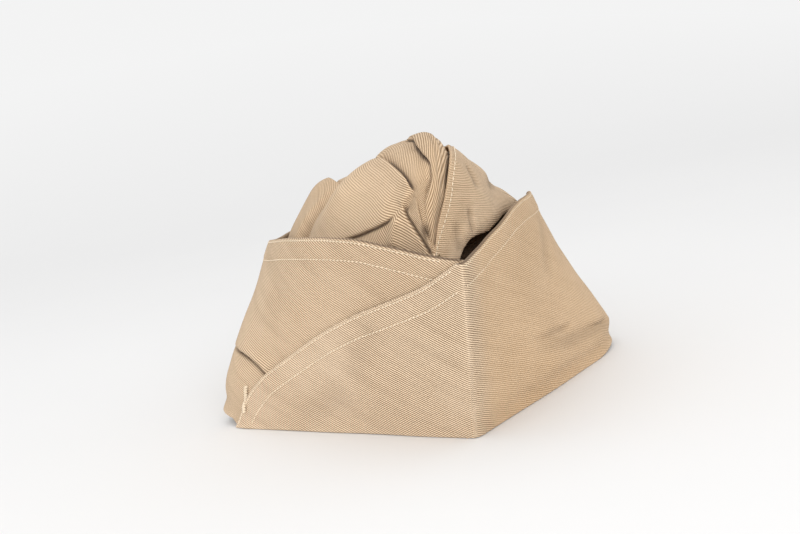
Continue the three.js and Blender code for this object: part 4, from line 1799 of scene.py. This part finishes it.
@dataclass
class Gusset:
    """The insert along the top of the crown, with its raised fold, in millimetres.

    A place is given by u, 0 at its front point and 1 at its back point, and across, 0 at the
    right ridge line and 1 at the left one. It swells between them, and its edges go under the
    side panels' stitched edges.
    """

    panels: tuple[CrownPanel, CrownPanel]
    thickness: float = 1.2
    raise_height: float = 5.5
    fold_height: float = 3.0
    fold_across: float = 0.64
    fold_spread: float = 0.3
    under: float = 1.45
    tuck: float = 3.5
    tuck_shares: tuple[float, ...] = (1.0, 0.7, 0.4)
    seam_gap: float = 0.3
    pleat_back: float = 0.124
    columns: int = 290
    rows: int = 84
    fold_grain: float = 4.0
    pleat_grain: float = 64.0
    swell: Curve = Curve(((0, 0), (0.06, 0.3), (0.16, 0.9), (0.24, 1), (0.5, 0.7), (0.8, 0.4), (1, 0)))
    fold: Curve = Curve(((0, 0), (0.06, 0.5), (0.16, 1), (0.24, 0.9), (0.5, 0.2), (0.8, 0), (1, 0)))
    fold_left: Trail = Trail((
        (0.4, 0.56), (0.303, 0.49), (0.218, 0.4), (0.185, 0.395), (0.157, 0.43), (0.138, 0.477),
        (0.122, 0.477), (0.102, 0.375), (0.081, 0.25), (0.066, 0.22), (0.05, 0.25), (0.027, 0.3),
    ), 60)
    relief: Relief = field(init=False)

    def __post_init__(self) -> None:
        """Set up the insert's relief: the fold that lies over its flat part, and soft ribs."""
        over = Crease(
            self.fold_left, left=0.1, left_reach=6.0, right=-2.2, right_reach=5.0, sharp=0.35,
            groove=1.6, groove_width=0.6, slide=0.8, dark=0.85, fade_in=0.15, fade_out=0.45,
        )
        ribs = tuple(
            Crease(Trail(places), groove=depth, groove_width=width, fade_in=0.3, fade_out=0.3)
            for places, depth, width in (
                (((0.26, 0.62), (0.2, 0.64), (0.15, 0.68), (0.11, 0.7), (0.08, 0.72)), 0.7, 1.1),
                (((0.3, 0.78), (0.22, 0.79), (0.16, 0.81), (0.11, 0.83), (0.07, 0.82)), 0.8, 1.0),
                (((0.13, 0.58), (0.1, 0.55), (0.07, 0.5), (0.045, 0.5)), 0.5, 1.0),
            )
        )
        self.relief = Relief(self.face, (0, -1, 1), (over, *ribs), (), (), (Swell((0.4, 0.2), 2.2, 14.0),))

    def way(self, u: Array) -> Array:
        """Work out the way out of the cap, upright along it and square to the ridge lines.

        Args:
            u: places from the front point to the back one.

        Returns:
            Unit vectors.
        """
        step = 0.01
        ahead, behind = np.minimum(1, u + step), np.maximum(0, u - step)
        run = sum(panel.ridge.at(ahead) - panel.ridge.at(behind) for panel in self.panels)
        return unit(np.stack([0 * run[..., 0], -run[..., 2], run[..., 1]], -1))

    def face(self, u: Array, across: Array) -> Array:
        """Work out the plain outer face.

        It rises over the straight line between the ridge lines by height·swell·4a(1 − a), and the
        fold by height·(1 − ((a − middle)/spread)²)², where a is across.

        Args:
            u: places from the front point to the back one.
            across: places from the right ridge line to the left one.

        Returns:
            The points.
        """
        u, across = np.broadcast_arrays(np.clip(u, 0, 1), np.clip(across, 0, 1))
        fold = np.maximum(0, 1 - ((across - self.fold_across) / self.fold_spread) ** 2) ** 2
        rise = self.raise_height * self.swell.at(u) * 4 * across * (1 - across)
        rise = rise + self.fold_height * self.fold.at(u) * fold
        right, left = self.panels[0].ridge.at(u), self.panels[1].ridge.at(u)
        right[..., 0] += self.seam_gap / 2
        left[..., 0] -= self.seam_gap / 2
        return mix(right, left, across[..., None]) + self.way(u) * rise[..., None]

    def tucked(self, panel: CrownPanel, u: Array) -> Array:
        """Work out the rows that run on under a panel by the tuck, the deepest first.

        Args:
            panel: the panel.
            u: places from the front point to the back one.

        Returns:
            The points.
        """
        rows = []
        for share in self.tuck_shares:
            rise = 1.0 - share * self.tuck / panel.panel_height
            base, _, normal = panel.relief.worked(u, np.full_like(u, rise))
            rows.append(base - normal * (panel.thickness + 0.25 + 0.9 * share))
        return np.stack(rows)

    def cloth(self) -> Cloth:
        """Build the insert's cloth.

        Its middle rows follow the face, and sink near both edges to under the panels' thickness
        and deeper beside the left edge. A pocket dips in at the front of the pleat. The outer rows
        run on under the panels. The shade lies in the crack along each edge and in the pocket.

        Returns:
            The cloth.
        """
        u = np.linspace(0.02, 0.985, self.columns) ** 1.3
        across = np.linspace(0.0, 1.0, self.rows)
        grid_u, grid_across = np.meshgrid(u, across)
        outer, shade, _ = self.relief.worked(grid_u, grid_across)
        width = np.linalg.norm(self.face(u, np.ones_like(u)) - self.face(u, np.zeros_like(u)), axis=-1)
        from_right = grid_across * width
        from_left = (1 - grid_across) * width
        seam = smooth((grid_u - 0.1) / 0.045)
        sink = bell(from_right, 1.2) * mix(0.15, 1.0, seam) + bell(from_left, 1.6)
        front = smooth((0.42 - grid_u) / 0.15)
        gap = front * smooth((grid_u - 0.085) / 0.04)
        deep = 3.0 * bell(from_left, 2.6) * gap + 0.6 * bell(from_right, 1.2) * front * seam
        upper = smooth((grid_u - 0.08) / 0.035)
        shade = np.maximum(shade, bell(from_left, 1.3) * gap * upper)
        crack = bell(np.maximum(from_right - 0.4, 0.0), 0.5)
        shade = np.maximum(shade, 0.95 * crack * front * seam * smooth((0.34 - grid_u) / 0.1))
        pocket = bell(grid_across - 0.1, 0.3) * bell(grid_u - 0.04, 0.013)
        shade = np.maximum(np.maximum(shade, pocket), 0.19)
        way = self.way(grid_u)
        outer = outer - way * (self.under * np.minimum(sink, 1.0) + deep + 1.2 * pocket)[..., None]
        right, left = self.panels
        outer = np.concatenate([self.tucked(right, u), outer, self.tucked(left, u)[::-1]])
        extra = len(self.tuck_shares)
        paint = Paint.plain(outer.shape[:2])
        paint.shade[extra:-extra] = shade
        paint.relief[:] = 0.75
        paint.warm[:] = 0.5
        fold = column(self.fold_left.places[::-1], 1).at(grid_u)
        smoothed = smooth((fold - grid_across) / 0.08) * smooth((grid_u - 0.12) / 0.02)
        top = smooth((grid_u - 0.07) / 0.05)
        paint.relief[extra:-extra] = mix(mix(0.74, 0.42, top), 0.2, smoothed)
        grain = np.full((outer.shape[0] - 1, outer.shape[1] - 1), self.fold_grain)
        pleat = (grid_across < fold) & (grid_u < self.pleat_back)
        grain[: self.rows + 2][np.concatenate([pleat[:1], pleat[:1], pleat])[:, 1:]] = self.pleat_grain
        around = lengths_from(self.face(u, np.full_like(u, 0.5)), 0)
        beyond = self.tuck * np.outer(self.tuck_shares, np.ones_like(u))
        sides = np.concatenate([-beyond, from_right, width + beyond[::-1]]) - width
        flat = np.stack([np.broadcast_to(around, outer.shape[:2]), sides], -1)
        return Cloth("cloth_crown_gusset", outer, (0, -1, 1), self.thickness, grain, paint, flat)


def crown_stitches(right: RightPanel, left: LeftPanel) -> list[Stitching]:
    """Lay the stitches along the side panels' edges, from the front seam backward.

    Args:
        right: the right panel.
        left: the left panel.

    Returns:
        The stitching of each panel.
    """
    right_row = Trail(((0.128, 0.985), (0.152, 0.986), (0.185, 0.986), (0.255, 0.986), (0.34, 0.985)))
    left_row = Trail((
        (0.007, 0.985), (0.023, 0.982), (0.04, 0.974), (0.056, 0.969), (0.078, 0.969), (0.092, 0.971),
        (0.106, 0.975), (0.118, 0.978), (0.14, 0.98), (0.3, 0.982),
    ))
    return [
        Stitching("stitches_crown_right", right.relief, (StitchRow(right_row),)),
        Stitching("stitches_crown_left", left.relief, (StitchRow(left_row),)),
    ]


@dataclass
class BarTack:
    """The thick thread tack at the lower end of the lap, of close turns of thread."""

    band: Band
    width: float = 2.1
    turns: int = 19
    steps: int = 10
    sides: int = 8
    radius: float = 0.37
    lap_blend: float = 3.0
    foot: Row = (0.167, 0.097)
    head: Row = (0.164, 0.236)

    def build(self, finish: bpy.types.Material) -> bpy.types.Object:
        """Make the tack as one tube that zigzags over the cloth.

        The tube's centre runs from the foot to the head, and swings to both sides by a sine of
        half the width. It stands highest over the cloth in the middle of each swing, and goes
        over from the lap to the right curtain beyond the lap's edge.

        Args:
            finish: the material.

        Returns:
            The new object.
        """
        long = self.band.along_length
        share = np.linspace(0.0, 1.0, self.turns * self.steps)
        swing = np.sin(np.pi * self.turns * share)
        a = mix(self.foot[0], self.head[0], share) + swing * self.width / 2 / long
        b = mix(self.foot[1], self.head[1], share)
        centre, _, normal = self.band.lap_relief.worked(a, b)
        under = self.band.right_relief.points(a, b)
        off_lap = smooth(0.5 - (a - LAP_EDGE.at(b)) * long / self.lap_blend)
        centre = mix(centre, under, off_lap[:, None])
        centre = centre + normal * (0.5 + 0.5 * (1 - swing**2))[:, None]
        way = unit(np.gradient(centre, axis=0))
        across = unit(np.cross(normal, way))
        up = unit(np.cross(way, across))
        turn = np.linspace(0.0, 2 * np.pi, self.sides, endpoint=False)
        rings = rings_around(centre, across, up, self.radius, turn)
        run = lengths_from(centre, 0)
        places = np.stack(np.broadcast_arrays(run[:, None], turn / (2 * np.pi) / MILLIMETRE), -1)
        return add_tubes("thread_bar_tack", rings[None], places[None], finish)


@dataclass(frozen=True)
class Studio:
    """The pale floor with its curved backdrop, soft lights and the camera.

    The camera's angles are in degrees and its distance and target in millimetres.
    """

    azimuth: float = 8.19
    elevation: float = 8.54
    roll: float = 10.09
    distance: float = 512.64
    focal_pixels: float = 1098.5
    image_width: float = 800.0
    target: Row = (-3.11, -0.08, 55.61)
    sensor: float = 36.0
    world_strength: float = 0.92

    def camera(self) -> None:
        """Make the camera, which looks at the target, rolled about its line of sight."""
        a, e, r = np.radians([self.azimuth, self.elevation, self.roll])
        back = np.array([-np.sin(a) * np.cos(e), -np.cos(a) * np.cos(e), np.sin(e)])
        right = unit(np.cross(-back, [0.0, 0.0, 1.0]))
        up = np.cross(right, -back)
        x = np.cos(r) * right - np.sin(r) * up
        y = np.sin(r) * right + np.cos(r) * up
        place = (np.array(self.target) + back * self.distance) * MILLIMETRE
        data = bpy.data.cameras.new("camera")
        data.sensor_width = self.sensor
        data.lens = self.focal_pixels / self.image_width * self.sensor
        data.clip_start = 0.01
        made = bpy.data.objects.new("camera", data)
        turned = Matrix((x, y, back)).transposed().to_4x4()
        made.matrix_world = Matrix.Translation(Vector(place)) @ turned
        bpy.context.scene.collection.objects.link(made)
        bpy.context.scene.camera = made

    def floor(self) -> None:
        """Make the floor: a flat profile that turns up behind the cap in a quarter circle."""
        radius, back, side, front, top = 3.0, 1.0, 5.0, -3.5, 4.0
        turn = np.linspace(0.0, np.pi / 2, 24)[1:]
        level = np.linspace(front, back, 30)
        y = np.concatenate([level, back + radius * np.sin(turn), [back + radius]])
        z = np.concatenate([np.zeros_like(level), radius * (1 - np.cos(turn)), [top]])
        x = np.linspace(-side, side, 24)
        points = np.stack(np.broadcast_arrays(x[:, None], y[None, :], z[None, :]), -1)
        index = np.arange(points.shape[0] * points.shape[1]).reshape(points.shape[:2])
        quads = np.stack([index[:-1, :-1], index[1:, :-1], index[1:, 1:], index[:-1, 1:]], -1)
        faces = quads.reshape(-1, 4).tolist()
        add_mesh("studio_floor", points.reshape(-1, 3), faces, FloorFinish().make())

    def light(self, name: str, place: Row, aim: Row, size: float, power: float, colour: Row) -> None:
        """Make a soft square light.

        Args:
            name: its name.
            place: where it stands, in metres.
            aim: what it points at, in metres.
            size: its side, in metres.
            power: its power, in watts.
            colour: its colour.
        """
        data = bpy.data.lights.new(name, "AREA")
        data.shape = "SQUARE"
        data.size = size
        data.energy = power
        data.color = colour
        made = bpy.data.objects.new(name, data)
        made.location = place
        made.rotation_euler = (Vector(place) - Vector(aim)).to_track_quat("Z", "Y").to_euler()
        bpy.context.scene.collection.objects.link(made)

    def build(self) -> None:
        """Make the floor, the lights, the surroundings and the camera."""
        self.floor()
        self.light("overhead", (-0.2, -0.1, 1.5), (0.0, 0.0, 0.05), 1.6, 4.2, (1.0, 0.99, 0.975))
        self.light("window", (-1.6, -1.1, 0.9), (0.0, 0.0, 0.05), 1.2, 3.2, (1.0, 0.985, 0.96))
        self.light("front", (-0.1, -1.7, 0.42), (0.0, 0.0, 0.05), 1.3, 23.5, (1.0, 0.99, 0.98))
        world = bpy.data.worlds.new("surroundings")
        world.use_nodes = True
        shade = world.node_tree.nodes["Background"]
        shade.inputs[0].default_value = (1.0, 1.0, 1.0, 1.0)
        shade.inputs[1].default_value = self.world_strength
        bpy.context.scene.world = world
        settings = bpy.context.scene.view_settings
        settings.view_transform = "Standard"
        settings.look = "None"
        self.camera()


def place_piece(piece: bpy.types.Object, nodes: tuple[str, ...] = ()) -> None:
    """Let a piece ride on the cap's body and replace the nodes it stands for.

    Args:
        piece: the piece.
        nodes: the nodes that it replaces.
    """
    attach(piece, "root")
    if nodes:
        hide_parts(*nodes)
    LOG.info("%s: %d faces", piece.name, len(piece.data.polygons))


@dataclass(frozen=True)
class Cut:
    """A cloth piece's flat cut, in metres: what it stands for, its sides, its area and its support."""

    node: str
    flat: tuple[float, float]
    area: float
    rests_on: tuple[str, ...]
    stitches: tuple[str, ...]


CUTS = {
    "cloth_curtain_left": Cut(
        "curtain_left", (0.09, 0.42), 0.0294, ("cloth_curtain_right",),
        ("stitches_lap", "stitches_left_hem", "thread_bar_tack"),
    ),
    "cloth_curtain_right": Cut(
        "curtain_right", (0.09, 0.29), 0.0235, ("cloth_crown_right",), ("stitches_right_hem",)
    ),
    "cloth_crown_left": Cut(
        "crown_left", (0.115, 0.28), 0.0262, ("cloth_curtain_left",), ("stitches_crown_left",)
    ),
    "cloth_crown_right": Cut(
        "crown_right", (0.115, 0.28), 0.0258, ("cloth_curtain_right",), ("stitches_crown_right",)
    ),
    "cloth_crown_gusset": Cut(
        "crown_gusset", (0.045, 0.27), 0.0092, ("cloth_crown_left", "cloth_crown_right"), ()
    ),
}


def main() -> None:
    """Build the cap's pieces in order, then the studio."""
    logging.basicConfig(level=logging.INFO, format="%(name)s %(message)s")
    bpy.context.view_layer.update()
    twill = TwillFinish().make()
    thread = ThreadFinish().make()
    band = Band()
    right_panel, left_panel = RightPanel(), LeftPanel()
    gusset = Gusset((right_panel, left_panel))
    for cloth in (
        band.left_cloth(), band.right_cloth(), left_panel.cloth(), right_panel.cloth(), gusset.cloth()
    ):
        place_piece(cloth.build(twill), (CUTS[cloth.name].node,))
    for stitching in (*band.stitch_rows(), *crown_stitches(right_panel, left_panel)):
        place_piece(stitching.build(thread))
    place_piece(BarTack(band).build(thread), ("bar_tack",))
    Studio().build()


if __name__ == "__main__":
    main()
